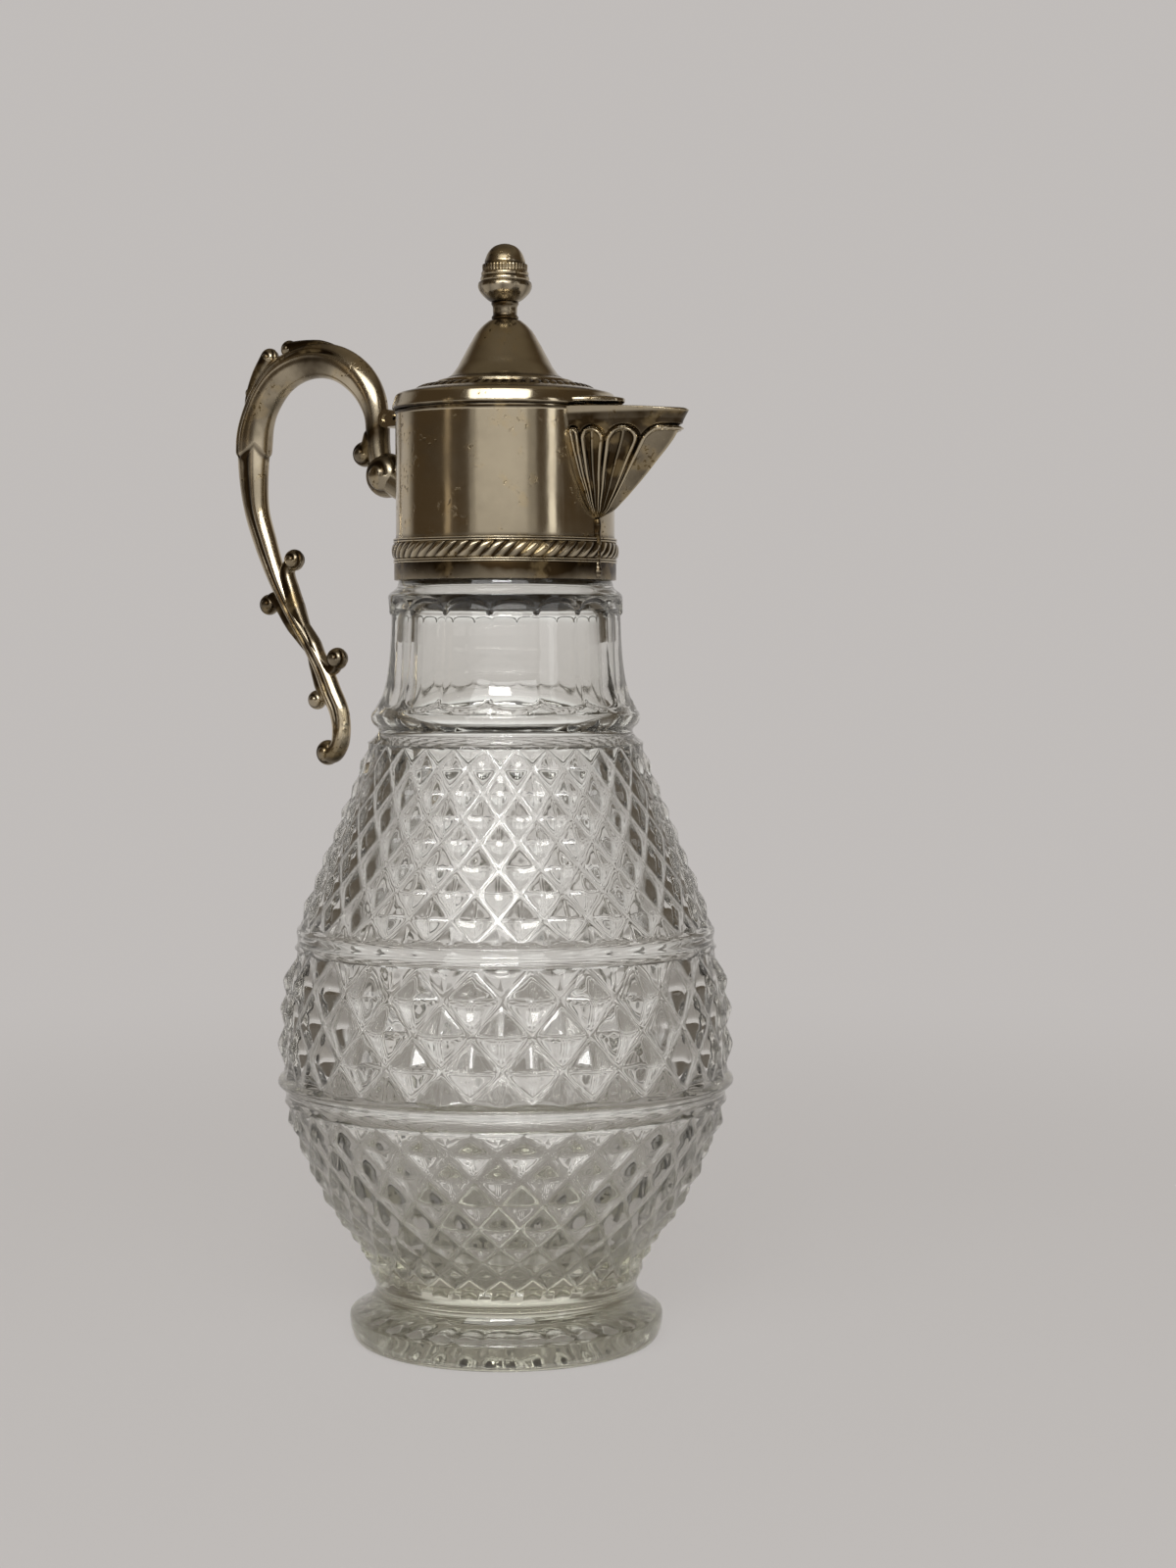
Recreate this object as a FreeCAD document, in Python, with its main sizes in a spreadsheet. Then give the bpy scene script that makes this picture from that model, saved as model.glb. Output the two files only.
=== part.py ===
"""Claret jug: a pressed-glass bottle in a plated mount with a hinged lid.

Frame: millimetres, +Z up, the origin in the middle of the foot's resting plane,
+X towards the spout, -X towards the handle.  Every driving size is a cell of the
sheet; heights are stacked from the foot upwards, so a change lifts what stands on it.
"""
import FreeCAD
import Part
import math
import os
import Sketcher

SIZES = {
    # glass bottle: foot
    "foot_rest_radius": 39.4,
    "foot_rest_width": 6.0,
    "foot_recess": 4.0,
    "foot_recess_flat": 12.0,
    "foot_edge_bulge": 2.4,
    "foot_edge_height": 7.6,
    "foot_top_rise": 6.4,
    "foot_top_hollow": 0.6,
    "waist_radius": 34.6,
    "waist_height": 3.0,
    # glass bottle: bands and rings, from the waist up
    "lower_band_foot_radius": 35.4,
    "lower_band_radius": 58.6,
    "lower_band_height": 46.6,
    "lower_band_swell": 2.6,
    "ring_groove_height": 1.4,
    "ring_groove_depth": 0.8,
    "ring_height": 6.2,
    "ring_relief": 1.3,
    "belly_foot_radius": 60.2,
    "belly_radius": 58.3,
    "belly_height": 31.6,
    "belly_swell": 1.7,
    "upper_band_foot_radius": 55.4,
    "upper_band_radius": 37.4,
    "upper_band_height": 47.8,
    "upper_band_swell": 0.2,
    "shoulder_groove_radius": 33.6,
    "shoulder_groove_height": 3.4,
    "flange_radius": 35.5,
    "flange_height": 6.4,
    "neck_radius": 30.8,
    "neck_height": 25.4,
    "neck_hollow": 1.0,
    "neck_shoulder_drop": 1.9,
    "neck_shoulder_height": 3.0,
    "neck_lip_height": 4.9,
    "panel_chord_spare": 1.0,
    # glass bottle: pressed diamonds of the bands
    "band_diamond_relief": 1.9,
    "belly_diamond_relief": 2.6,
    "diamond_root": 0.6,
    # glass bottle: walls and inside
    "bottle_wall": 4.6,
    "neck_wall": 4.2,
    "floor_thickness": 20.5,
    "floor_inset": 10.0,
    "floor_dish": 1.6,
    "finish_height": 22.0,
    "finish_wall": 3.6,
    # mount: sleeve and bands
    "collar_radius": 28.9,
    "collar_wall": 0.8,
    "collar_height": 44.1,
    "collar_seat_gap": 0.3,
    "lip_inset": 0.7,
    "bedding_thickness": 2.6,
    "bedding_inset": 1.2,
    "mouth_ring_thickness": 0.8,
    "skirt_height": 4.3,
    "skirt_thickness": 0.35,
    "band_wire_height": 1.2,
    "band_wire_relief": 0.6,
    "rope_height": 4.2,
    "rope_relief": 0.9,
    "seam_width": 2.0,
    "seam_relief": 1.1,
    # spout
    "spout_drop": 28.6,
    "spout_reach": 29.2,
    "spout_half_width": 11.6,
    "spout_wall": 0.9,
    "flute_relief": 0.7,
    "lip_fall": 2.2,
    "notch_rise": 4.0,
    "notch_inset": 2.4,
    # handle
    "handle_reach": 57.0,
    "handle_height": 109.6,
    "handle_rise": 16.6,
    "handle_depth": 9.2,
    "handle_width": 7.2,
    "bud_radius": 2.9,
    "bead_radius": 2.6,
    "curl_radius": 4.2,
    "tendril_radius": 2.0,
    # hinge
    "hinge_offset": 5.4,
    "hinge_drop": 0.5,
    "knuckle_radius": 2.5,
    "hinge_length": 14.0,
    "lid_knuckle_length": 5.4,
    "knuckle_gap": 0.25,
    "pin_radius": 1.1,
    "pin_clearance": 0.05,
    "pin_recess": 0.5,
    "leaf_thickness": 1.6,
    "leaf_drop": 1.9,
    # lid
    "lid_overhang": 0.8,
    "lid_gap": 0.35,
    "lid_rim_height": 3.5,
    "lid_edge_round": 0.9,
    "lid_wall": 0.8,
    "cover_hole_radius": 12.5,
    "cover_rise": 5.4,
    "bead_ring_radius": 20.8,
    "bead_ring_width": 3.6,
    "bead_ring_rise": 1.2,
    "locating_clearance": 0.5,
    "locating_wall": 0.8,
    "locating_depth": 2.6,
    "tongue_reach": 7.2,
    "tongue_half_width": 13.4,
    "tongue_thickness": 1.4,
    "tongue_tip_half_width": 5.6,
    "tongue_tip_setback": 2.6,
    "dome_foot_radius": 16.2,
    "dome_foot_height": 0.7,
    "dome_waist_radius": 12.3,
    "dome_waist_height": 4.8,
    "dome_flare": 0.5,
    "dome_crown_radius": 3.6,
    "dome_crown_height": 10.9,
    "dome_swell": 0.9,
    "dome_wall": 0.8,
    # finial
    "stem_radius": 3.2,
    "stem_waist": 0.5,
    "stem_height": 4.2,
    "cup_foot_radius": 3.4,
    "cup_radius": 7.1,
    "cup_height": 4.8,
    "cup_swell": 0.9,
    "acorn_radius": 6.6,
    "acorn_height": 10.6,
    "acorn_swell": 0.9,
    "acorn_tip_radius": 0.9,
    "acorn_tip_height": 0.8,
    "stud_radius": 1.3,
    "stud_clearance": 0.05,
    "stud_grip": 5.0,
    "stud_tail": 0.8,
    "washer_radius": 2.8,
    "washer_thickness": 0.6,
    "nut_radius": 2.6,
    "nut_height": 2.0,
    # how far every cutting shape runs past what it cuts
    "overrun": 4.0,
}

NECK_PANELS = 16
BAND_DIAMONDS = 28
BELLY_DIAMONDS = 24
BAND_DIAMOND_TURN = -50.8
BELLY_DIAMOND_TURN = -48.6
NUT_SIDES = 6
FLUTES = 7

# Where arcs pass between their ends, and how curved outlines are spaced, as shares of what carries them.
HALF_SHARE = 0.5
RECESS_BOW_SHARE = 0.72
EDGE_BULGE_SHARE = 0.52
BELLY_BULGE_SHARE = 0.3
NECK_FLARE_SHARE = 0.32
TONGUE_ROOT_SHARE = 0.82
ACORN_SHOULDER_SHARE = 0.62

# Heights of the diamonds' points in each band, and the depth of the half diamonds along its edges.
LOWER_DIAMOND_SHARES = (0.067, 0.144, 0.234, 0.339, 0.457, 0.601, 0.749, 0.893, 0.990)
BELLY_DIAMOND_SHARES = (0.012, 0.269, 0.538, 0.790, 0.988)
UPPER_DIAMOND_SHARES = (0.010, 0.130, 0.262, 0.389, 0.523, 0.644, 0.770, 0.902, 0.990)
EDGE_DIAMOND_SHARE = 0.45

# Spout sections from its lower point to its lip: height, keel reach, half-width, flute depth.
SPOUT_SECTION_SHARES = (
    (0.00, 0.00, 0.04, 0.00),
    (0.06, 0.19, 0.15, 0.30),
    (0.25, 0.39, 0.42, 0.70),
    (0.50, 0.64, 0.70, 1.00),
    (0.71, 0.84, 0.84, 1.00),
    (0.76, 0.84, 0.87, 0.05),
    (0.88, 0.92, 0.94, 0.00),
    (1.00, 1.00, 1.00, 0.00),
)
SPOUT_NOSE_SHARE = 1.7

# Handle centre line from the foot to the lower curl: reach and height, then depth and width of its section.
HANDLE_LINE_SHARES = (
    (-0.035, 0.672, 1.15, 1.00),
    (0.085, 0.682, 1.08, 1.00),
    (0.175, 0.715, 0.92, 0.95),
    (0.222, 0.765, 0.78, 0.90),
    (0.228, 0.820, 0.74, 0.90),
    (0.262, 0.894, 0.80, 0.95),
    (0.377, 0.968, 0.95, 1.00),
    (0.574, 1.000, 1.02, 1.00),
    (0.833, 0.969, 1.04, 1.00),
    (0.980, 0.845, 1.04, 1.00),
    (0.998, 0.711, 0.94, 0.92),
    (0.980, 0.635, 0.80, 0.84),
    (0.908, 0.535, 0.73, 0.80),
    (0.828, 0.454, 0.66, 0.76),
    (0.744, 0.358, 0.58, 0.72),
    (0.588, 0.234, 0.60, 0.72),
    (0.475, 0.131, 0.52, 0.68),
    (0.463, 0.075, 0.50, 0.66),
    (0.500, 0.022, 0.46, 0.66),
)
# Buds on the handle: reach and height of the bud, then of the spot on the line that its tendril leaves.
BUD_SHARES = (
    (0.726, 0.508, 0.905, 0.560),
    (0.907, 0.392, 0.800, 0.448),
    (0.468, 0.258, 0.640, 0.292),
    (0.602, 0.152, 0.520, 0.186),
    (0.555, 0.010, 0.495, 0.025),
)
BEAD_SHARES = (
    (0.898, 1.028),
    (0.761, 1.040),
)
CURL_SHARES = (0.340, 0.772)


class Size:
    """A length that carries its number and the sheet formula that gives it."""

    def __init__(self, number, formula):
        self.number = float(number)
        self.formula = formula

    @staticmethod
    def of(value):
        """Return value as a Size; a plain number is a share or a count."""
        if isinstance(value, Size):
            return value
        return Size(value, repr(float(value)))

    def __add__(self, other):
        other = Size.of(other)
        return Size(self.number + other.number, f"({self.formula} + {other.formula})")

    def __sub__(self, other):
        other = Size.of(other)
        return Size(self.number - other.number, f"({self.formula} - {other.formula})")

    def __mul__(self, other):
        other = Size.of(other)
        return Size(self.number * other.number, f"({self.formula} * {other.formula})")

    def __truediv__(self, other):
        other = Size.of(other)
        return Size(self.number / other.number, f"({self.formula} / {other.formula})")

    def __neg__(self):
        return Size(-self.number, f"(-1 * {self.formula})")

    __radd__ = __add__
    __rmul__ = __mul__


ZERO = Size.of(0)


def fill_sheet(doc):
    """Put every driving size in a cell of its own and return them by name."""
    sheet = doc.addObject("Spreadsheet::Sheet", "Sizes")
    for row, (name, number) in enumerate(SIZES.items(), start=1):
        sheet.set(f"A{row}", name)
        sheet.set(f"B{row}", str(number))
        sheet.setAlias(f"B{row}", name)
    doc.recompute()
    return {name: Size(sheet.get(name), f"Sizes.{name}") for name in SIZES}


def between(low, high, share):
    """Return the place at a share of the way from low to high."""
    return low + (high - low) * share


def origin_feature(body, role):
    """Return the plane or axis of a body's own origin that has the given role."""
    return next(item for item in body.Origin.OriginFeatures if item.Role == role)


def new_body(doc, label):
    """Start a named sub-part."""
    body = doc.addObject("PartDesign::Body", label)
    body.Label = label
    return body


def fix_point(sketch, bindings, geometry, position, place):
    """Fix one sketch point at a place given as two sizes."""
    for axis, kind, size in ((-2, "DistanceX", place[0]), (-1, "DistanceY", place[1])):
        if size.number == 0:
            sketch.addConstraint(Sketcher.Constraint("PointOnObject", geometry, position, axis))
        elif size.number > 0:
            index = sketch.addConstraint(Sketcher.Constraint(kind, -1, 1, geometry, position, size.number))
            bindings.append((index, size.formula))
        else:
            back = -size
            index = sketch.addConstraint(Sketcher.Constraint(kind, geometry, position, -1, 1, back.number))
            bindings.append((index, back.formula))


def flat(place):
    """Return a place of two sizes as a vector of the sketch plane."""
    return FreeCAD.Vector(place[0].number, place[1].number, 0)


def turns_left(first, middle, last):
    """Tell whether three points of the sketch plane turn anticlockwise."""
    return (middle - first).cross(last - middle).z > 0


def closed_sketch(body, name, role, start, steps, lift=None):
    """Draw a closed outline on one of the body's origin planes.

    Each step is (via, end): a straight line to end where via is None, otherwise an
    arc through via.  The last step ends where the outline starts.
    """
    sketch = body.newObject("Sketcher::SketchObject", name)
    sketch.AttachmentSupport = (origin_feature(body, role), [""])
    sketch.MapMode = "FlatFace"
    if lift is not None:
        sketch.setExpression("AttachmentOffset.Base.z", lift.formula)
    corners = [start] + [end for via, end in steps]
    ends = []
    for index, (via, end) in enumerate(steps):
        here = flat(corners[index])
        there = flat(end)
        if via is None:
            geometry = sketch.addGeometry(Part.LineSegment(here, there), False)
            ends.append((geometry, 1, 2))
        elif turns_left(here, flat(via), there):
            geometry = sketch.addGeometry(Part.Arc(here, flat(via), there), False)
            ends.append((geometry, 1, 2))
        else:
            geometry = sketch.addGeometry(Part.Arc(there, flat(via), here), False)
            ends.append((geometry, 2, 1))
    bindings = []
    for index, (geometry, first, last) in enumerate(ends):
        before = ends[index - 1]
        sketch.addConstraint(Sketcher.Constraint("Coincident", before[0], before[2], geometry, first))
        fix_point(sketch, bindings, geometry, first, corners[index])
        via = steps[index][0]
        if via is not None:
            point = sketch.addGeometry(Part.Point(flat(via)), True)
            fix_point(sketch, bindings, point, 1, via)
            sketch.addConstraint(Sketcher.Constraint("PointOnObject", point, 1, geometry))
    for index, formula in bindings:
        sketch.setExpression(f"Constraints[{index}]", formula)
    return sketch


def circle_sketch(body, name, role, radius):
    """Draw a circle around the origin of one of the body's origin planes."""
    sketch = body.newObject("Sketcher::SketchObject", name)
    sketch.AttachmentSupport = (origin_feature(body, role), [""])
    sketch.MapMode = "FlatFace"
    centre = FreeCAD.Vector(0, 0, 0)
    upward = FreeCAD.Vector(0, 0, 1)
    circle = sketch.addGeometry(Part.Circle(centre, upward, radius.number), False)
    sketch.addConstraint(Sketcher.Constraint("Coincident", circle, 3, -1, 1))
    index = sketch.addConstraint(Sketcher.Constraint("Radius", circle, radius.number))
    sketch.setExpression(f"Constraints[{index}]", radius.formula)
    return sketch


def turned(doc, label, start, steps):
    """Make a sub-part by turning a closed outline of (radius, height) about the vertical axis."""
    body = new_body(doc, label)
    add_turning(body, label, start, steps)
    return body


def add_turning(body, label, start, steps):
    """Add a turned form to a body."""
    sketch = closed_sketch(body, f"{label}_outline", "XZ_Plane", start, steps)
    turning = body.newObject("PartDesign::Revolution", f"{label}_turning")
    turning.Profile = sketch
    turning.ReferenceAxis = (sketch, ["V_Axis"])
    turning.Angle = 360
    return turning


def tube(doc, label, inner, outer, low, high):
    """Make a plain round tube."""
    steps = [(None, (outer, high)), (None, (inner, high)), (None, (inner, low)), (None, (outer, low))]
    return turned(doc, label, (outer, low), steps)


def cut_through(body, sketch, name, reverse=False, both_ways=False):
    """Cut a sketch right through a body, along the sketch's normal or against it."""
    cut = body.newObject("PartDesign::Pocket", name)
    cut.Profile = sketch
    cut.Type = "ThroughAll"
    cut.Midplane = both_ways
    cut.Reversed = reverse
    return cut


def slot_towards_spout(body, name, half_width, low, high):
    """Cut a straight upright slot through the +X side of a body."""
    steps = [
        (None, (half_width, high)),
        (None, (-half_width, high)),
        (None, (-half_width, low)),
        (None, (half_width, low)),
    ]
    sketch = closed_sketch(body, f"{name}_outline", "YZ_Plane", (half_width, low), steps)
    return cut_through(body, sketch, name, reverse=True)


def heights(s):
    """Stack the heights of the jug from its resting plane up to the lid."""
    z = {}
    z["foot_rim"] = s["foot_edge_height"]
    z["waist"] = z["foot_rim"] + s["foot_top_rise"]
    z["lower_band"] = z["waist"] + s["waist_height"]
    z["lower_ring"] = z["lower_band"] + s["lower_band_height"] + s["ring_groove_height"]
    z["belly"] = z["lower_ring"] + s["ring_height"]
    z["upper_ring"] = z["belly"] + s["belly_height"] + s["ring_groove_height"]
    z["upper_band"] = z["upper_ring"] + s["ring_height"]
    z["shoulder"] = z["upper_band"] + s["upper_band_height"]
    z["groove"] = z["shoulder"] + s["shoulder_groove_height"]
    z["neck"] = z["groove"] + s["flange_height"]
    z["neck_top"] = z["neck"] + s["neck_height"]
    z["lip"] = z["neck_top"] + s["neck_shoulder_height"]
    z["seat"] = z["lip"] + s["neck_lip_height"]
    z["collar"] = z["seat"] + s["collar_seat_gap"]
    z["finish"] = z["seat"] + s["finish_height"]
    z["collar_top"] = z["collar"] + s["collar_height"]
    z["spout"] = z["collar_top"] - s["spout_drop"]
    z["hinge"] = z["collar_top"] - s["hinge_drop"]
    z["lid"] = z["collar_top"] + s["lid_gap"]
    z["rim"] = z["lid"] + s["lid_rim_height"]
    z["dome"] = cover_top(s, z, s["dome_foot_radius"])
    z["crown"] = z["dome"] + s["dome_foot_height"] + s["dome_waist_height"] + s["dome_crown_height"]
    z["cup"] = z["crown"] + s["stem_height"]
    z["acorn"] = z["cup"] + s["cup_height"]
    z["nut"] = z["crown"] - s["dome_wall"] - s["washer_thickness"] - s["nut_height"]
    return z


def cover_top(s, z, radius):
    """Return the height of the lid cover's sloping top at a radius."""
    edge = s["lid_radius"] - s["lid_edge_round"]
    return z["rim"] + s["cover_rise"] * (edge - radius) / (edge - s["cover_hole_radius"])


def cover_underside(s, z, radius):
    """Return the height of the lid cover's sloping underside at a radius."""
    edge = s["lid_radius"] - s["lid_wall"]
    return z["rim"] - s["lid_wall"] + s["cover_rise"] * (edge - radius) / (edge - s["cover_hole_radius"])


def shared_sizes(s):
    """Add the radii and places that several pieces take from one another."""
    s["collar_bore"] = s["collar_radius"] - s["collar_wall"]
    s["finish_radius"] = s["collar_bore"] - s["bedding_thickness"]
    s["mouth_radius"] = s["finish_radius"] - s["finish_wall"]
    s["lip_radius"] = s["collar_radius"] - s["lip_inset"]
    s["lid_radius"] = s["collar_radius"] + s["lid_overhang"]
    s["locating_radius"] = s["collar_bore"] - s["locating_clearance"]
    s["hinge_back"] = s["collar_radius"] + s["hinge_offset"]
    s["stud_hole"] = s["stud_radius"] + s["stud_clearance"]
    s["seam_half"] = s["seam_width"] / 2


def ring_steps(foot_radius, top_radius, low, s):
    """Return the outline of a plain raised ring with a groove under it and a step back on top."""
    groove = foot_radius - s["ring_groove_depth"]
    crest = Size.of(top_radius) + s["ring_relief"]
    high = low + s["ring_height"]
    return [
        (None, (groove, low)),
        ((crest, between(low, high, HALF_SHARE)), (top_radius, high)),
    ]


def make_bottle(doc, s, z):
    """Press-moulded bottle: foot, diamond bands with rings between, flanged neck with flat panels."""
    blank = make_bottle_blank(doc, s, z)
    hollow = make_bottle_hollow(doc, s, z)
    pressed = doc.addObject("Part::MultiFuse", "bottle_pressed")
    pressed.Shapes = [blank, *make_diamond_bands(doc, s, z)]
    return without(doc, "glass_bottle", pressed, hollow)


def make_bottle_blank(doc, s, z):
    """Turn the outside of the bottle as a full form that is only a core where the diamond bands sit."""
    rest_inner = s["foot_rest_radius"] - s["foot_rest_width"]
    edge = s["foot_rest_radius"] + s["foot_edge_bulge"]
    core = s["mouth_radius"]
    lower_top = z["lower_ring"] - s["ring_groove_height"]
    belly_top = z["upper_ring"] - s["ring_groove_height"]
    foot_mid = between(s["foot_rest_radius"], s["waist_radius"], HALF_SHARE)
    neck_mid = between(s["flange_radius"], s["neck_radius"], 1 - NECK_FLARE_SHARE)
    neck_top_radius = s["neck_radius"] - s["neck_shoulder_drop"]
    shoulder_mid = between(s["neck_radius"], neck_top_radius, NECK_FLARE_SHARE)
    flange_mid_height = between(z["groove"], z["neck"], HALF_SHARE)
    recess_mid = between(s["foot_recess_flat"], rest_inner, HALF_SHARE)
    steps = [
        (None, (s["foot_recess_flat"], s["foot_recess"])),
        ((recess_mid, s["foot_recess"] * RECESS_BOW_SHARE), (rest_inner, ZERO)),
        (None, (s["foot_rest_radius"], ZERO)),
        ((edge, s["foot_edge_height"] * EDGE_BULGE_SHARE), (s["foot_rest_radius"], z["foot_rim"])),
        (
            (foot_mid - s["foot_top_hollow"], between(z["foot_rim"], z["waist"], HALF_SHARE)),
            (s["waist_radius"], z["waist"]),
        ),
        (None, (s["lower_band_foot_radius"], z["lower_band"])),
        (None, (core, z["lower_band"])),
        (None, (core, lower_top)),
        (None, (s["lower_band_radius"] - s["ring_groove_depth"], lower_top)),
        *ring_steps(s["lower_band_radius"], s["belly_foot_radius"], z["lower_ring"], s),
        (None, (core, z["belly"])),
        (None, (core, belly_top)),
        (None, (s["belly_radius"] - s["ring_groove_depth"], belly_top)),
        *ring_steps(s["belly_radius"], s["upper_band_foot_radius"], z["upper_ring"], s),
        (None, (core, z["upper_band"])),
        (None, (core, z["shoulder"])),
        (None, (s["upper_band_radius"], z["shoulder"])),
        (None, (s["shoulder_groove_radius"], z["groove"])),
        (
            (s["flange_radius"] + s["neck_hollow"] * HALF_SHARE, flange_mid_height),
            (s["flange_radius"], z["neck"]),
        ),
        (
            (neck_mid - s["neck_hollow"], between(z["neck"], z["neck_top"], NECK_FLARE_SHARE)),
            (s["neck_radius"], z["neck_top"]),
        ),
        (
            (shoulder_mid, between(z["neck_top"], z["lip"], 1 - NECK_FLARE_SHARE)),
            (neck_top_radius, z["lip"]),
        ),
        (None, (s["lip_radius"], z["seat"])),
        (None, (s["finish_radius"], z["seat"])),
        (None, (s["finish_radius"], z["finish"])),
        (None, (ZERO, z["finish"])),
        (None, (ZERO, s["foot_recess"])),
    ]
    body = turned(doc, "bottle_blank", (ZERO, s["foot_recess"]), steps)
    add_neck_panels(doc, body, s, z)
    return body


def make_bottle_hollow(doc, s, z):
    """Turn the space inside the bottle, a wall thickness behind its bands."""
    lower_top = z["lower_ring"] - s["ring_groove_height"]
    belly_top = z["upper_ring"] - s["ring_groove_height"]
    lower_mid = between(s["lower_band_foot_radius"], s["lower_band_radius"], HALF_SHARE)
    belly_mid = between(s["belly_foot_radius"], s["belly_radius"], BELLY_BULGE_SHARE)
    lower_mid_height = between(z["lower_band"], lower_top, HALF_SHARE)
    belly_mid_height = between(z["belly"], belly_top, BELLY_BULGE_SHARE)
    wall = s["bottle_wall"]
    floor = s["floor_thickness"]
    floor_radius = s["waist_radius"] - s["floor_inset"]
    neck_bore = s["neck_radius"] - s["neck_wall"]
    top = z["finish"] + s["overrun"]
    steps = [
        (None, (s["mouth_radius"], top)),
        (None, (s["mouth_radius"], z["collar"])),
        (None, (neck_bore, z["neck_top"])),
        (None, (neck_bore, z["neck"])),
        (None, (s["upper_band_radius"] - wall, z["shoulder"])),
        (None, (s["upper_band_foot_radius"] - wall, z["upper_band"])),
        ((belly_mid - wall, belly_mid_height), (s["belly_foot_radius"] - wall, z["belly"])),
        (None, (s["lower_band_radius"] - wall, lower_top)),
        ((lower_mid - wall, lower_mid_height), (floor_radius, floor + s["floor_dish"])),
        (None, (ZERO, floor)),
        (None, (ZERO, top)),
    ]
    return turned(doc, "bottle_hollow", (ZERO, top), steps)


def make_diamond_bands(doc, s, z):
    """Make the three pressed bands, each between the ring or waist under it and the one above."""
    lower_top = z["lower_ring"] - s["ring_groove_height"]
    belly_top = z["upper_ring"] - s["ring_groove_height"]
    lower = ("lower_band_foot_radius", "lower_band_radius", "lower_band_swell", HALF_SHARE)
    belly = ("belly_foot_radius", "belly_radius", "belly_swell", BELLY_BULGE_SHARE)
    upper = ("upper_band_foot_radius", "upper_band_radius", "upper_band_swell", HALF_SHARE)
    band_way = (BAND_DIAMONDS, BAND_DIAMOND_TURN, s["band_diamond_relief"].number)
    belly_way = (BELLY_DIAMONDS, BELLY_DIAMOND_TURN, s["belly_diamond_relief"].number)
    root = s["diamond_root"].number
    bands = (
        ("lower_diamonds", lower, z["lower_band"], lower_top, LOWER_DIAMOND_SHARES, band_way),
        ("belly_diamonds", belly, z["belly"], belly_top, BELLY_DIAMOND_SHARES, belly_way),
        ("upper_diamonds", upper, z["upper_band"], z["shoulder"], UPPER_DIAMOND_SHARES, band_way),
    )
    made = []
    for label, outline, low, high, shares, way in bands:
        rows = [(between(low, high, share).number, band_radius(s, outline, share)) for share in shares]
        rows.insert(0, (low.number - root, band_radius(s, outline, 0)))
        rows.append((high.number + root, band_radius(s, outline, 1)))
        feature = doc.addObject("Part::Feature", label)
        feature.Shape = diamond_disc(rows, *way)
        feature.Placement = FreeCAD.Placement()
        made.append(feature)
    return made


def band_radius(s, outline, share):
    """Return a band's radius at a share of its height: a slope between its ends, plus its swell."""
    foot, top, swell, bulge = outline
    bow = share * (1 - share) / (bulge * (1 - bulge))
    return between(s[foot].number, s[top].number, share) + s[swell].number * bow


def diamond_disc(rows, count, turn, relief):
    """Return a full disc whose edge is set with four-sided pyramids.

    rows are heights and radii of the pyramids' points.  Every other place of a row is a
    point, the ones between lie in the grooves, and the next row is shifted by one.  Each
    facet is the flat triangle between a point and two neighbouring groove places.  The
    first and the last row are all groove and end inside the glass.
    """
    steps = 2 * count

    def in_groove(row, step):
        """Tell whether a place of the lattice lies in a groove."""
        return (row + step) % 2 == 1

    def depth(row, step):
        """Return how far a place lies under the band's outline."""
        if row in (0, len(rows) - 1) or in_groove(row, step):
            return relief
        if row in (1, len(rows) - 2):
            return relief * EDGE_DIAMOND_SHARE
        return 0

    def place(row, step):
        """Return one place of the lattice."""
        height, radius = rows[row]
        angle = math.radians(turn + step * 360 / steps)
        reach = radius - depth(row, step)
        return FreeCAD.Vector(reach * math.cos(angle), reach * math.sin(angle), height)

    grid = [[place(row, step) for step in range(steps)] for row in range(len(rows))]
    facets = [grid[0], grid[-1]]
    for row in range(len(rows) - 1):
        for step in range(steps):
            after = (step + 1) % steps
            here, beside = grid[row][step], grid[row][after]
            above, across = grid[row + 1][step], grid[row + 1][after]
            if in_groove(row, step):
                facets += [(here, beside, across), (here, across, above)]
            else:
                facets += [(here, beside, above), (beside, across, above)]
    faces = [Part.Face(Part.makePolygon([*facet, facet[0]])) for facet in facets]
    return Part.Solid(Part.Shell(faces))


def add_neck_panels(doc, body, s, z):
    """Cut flat upright panels round the neck, with arched tops where they run out on its shoulder."""
    flatness = math.cos(math.pi / NECK_PANELS)
    face = s["neck_radius"] * flatness
    far = s["flange_radius"] + s["overrun"]
    neck_mid = between(s["flange_radius"], s["neck_radius"], 1 - NECK_FLARE_SHARE)
    bend = (neck_mid - s["neck_hollow"]) * flatness
    steps = [
        ((bend, between(z["neck"], z["neck_top"], NECK_FLARE_SHARE)), (face, z["neck_top"])),
        (None, (face, z["lip"])),
        (None, (far, z["lip"])),
        (None, (far, z["neck"])),
        (None, (s["flange_radius"], z["neck"])),
    ]
    sketch = closed_sketch(body, "neck_panel_outline", "XZ_Plane", (s["flange_radius"], z["neck"]), steps)
    doc.recompute()
    panel = body.newObject("PartDesign::Pocket", "neck_panel")
    panel.Profile = sketch
    panel.Midplane = True
    chord = 2 * math.tan(math.pi / NECK_PANELS)
    panel.setExpression("Length", (s["flange_radius"] * chord + s["panel_chord_spare"]).formula)
    doc.recompute()
    pattern = body.newObject("PartDesign::PolarPattern", "neck_panels")
    pattern.Originals = [panel]
    pattern.Axis = (origin_feature(body, "Z_Axis"), [""])
    pattern.Angle = 360
    pattern.Occurrences = NECK_PANELS
    body.Tip = pattern


def make_bedding(doc, s, z):
    """Plaster between the glass neck and the sleeve."""
    low = z["collar"] + s["bedding_inset"]
    return tube(doc, "neck_bedding", s["finish_radius"], s["collar_bore"], low, z["finish"])


def make_mouth_ring(doc, s, z):
    """Flat ring that lies on the glass rim and the bedding, soldered into the sleeve."""
    high = z["finish"] + s["mouth_ring_thickness"]
    return tube(doc, "mouth_ring", s["mouth_radius"], s["collar_bore"], z["finish"], high)


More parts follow.
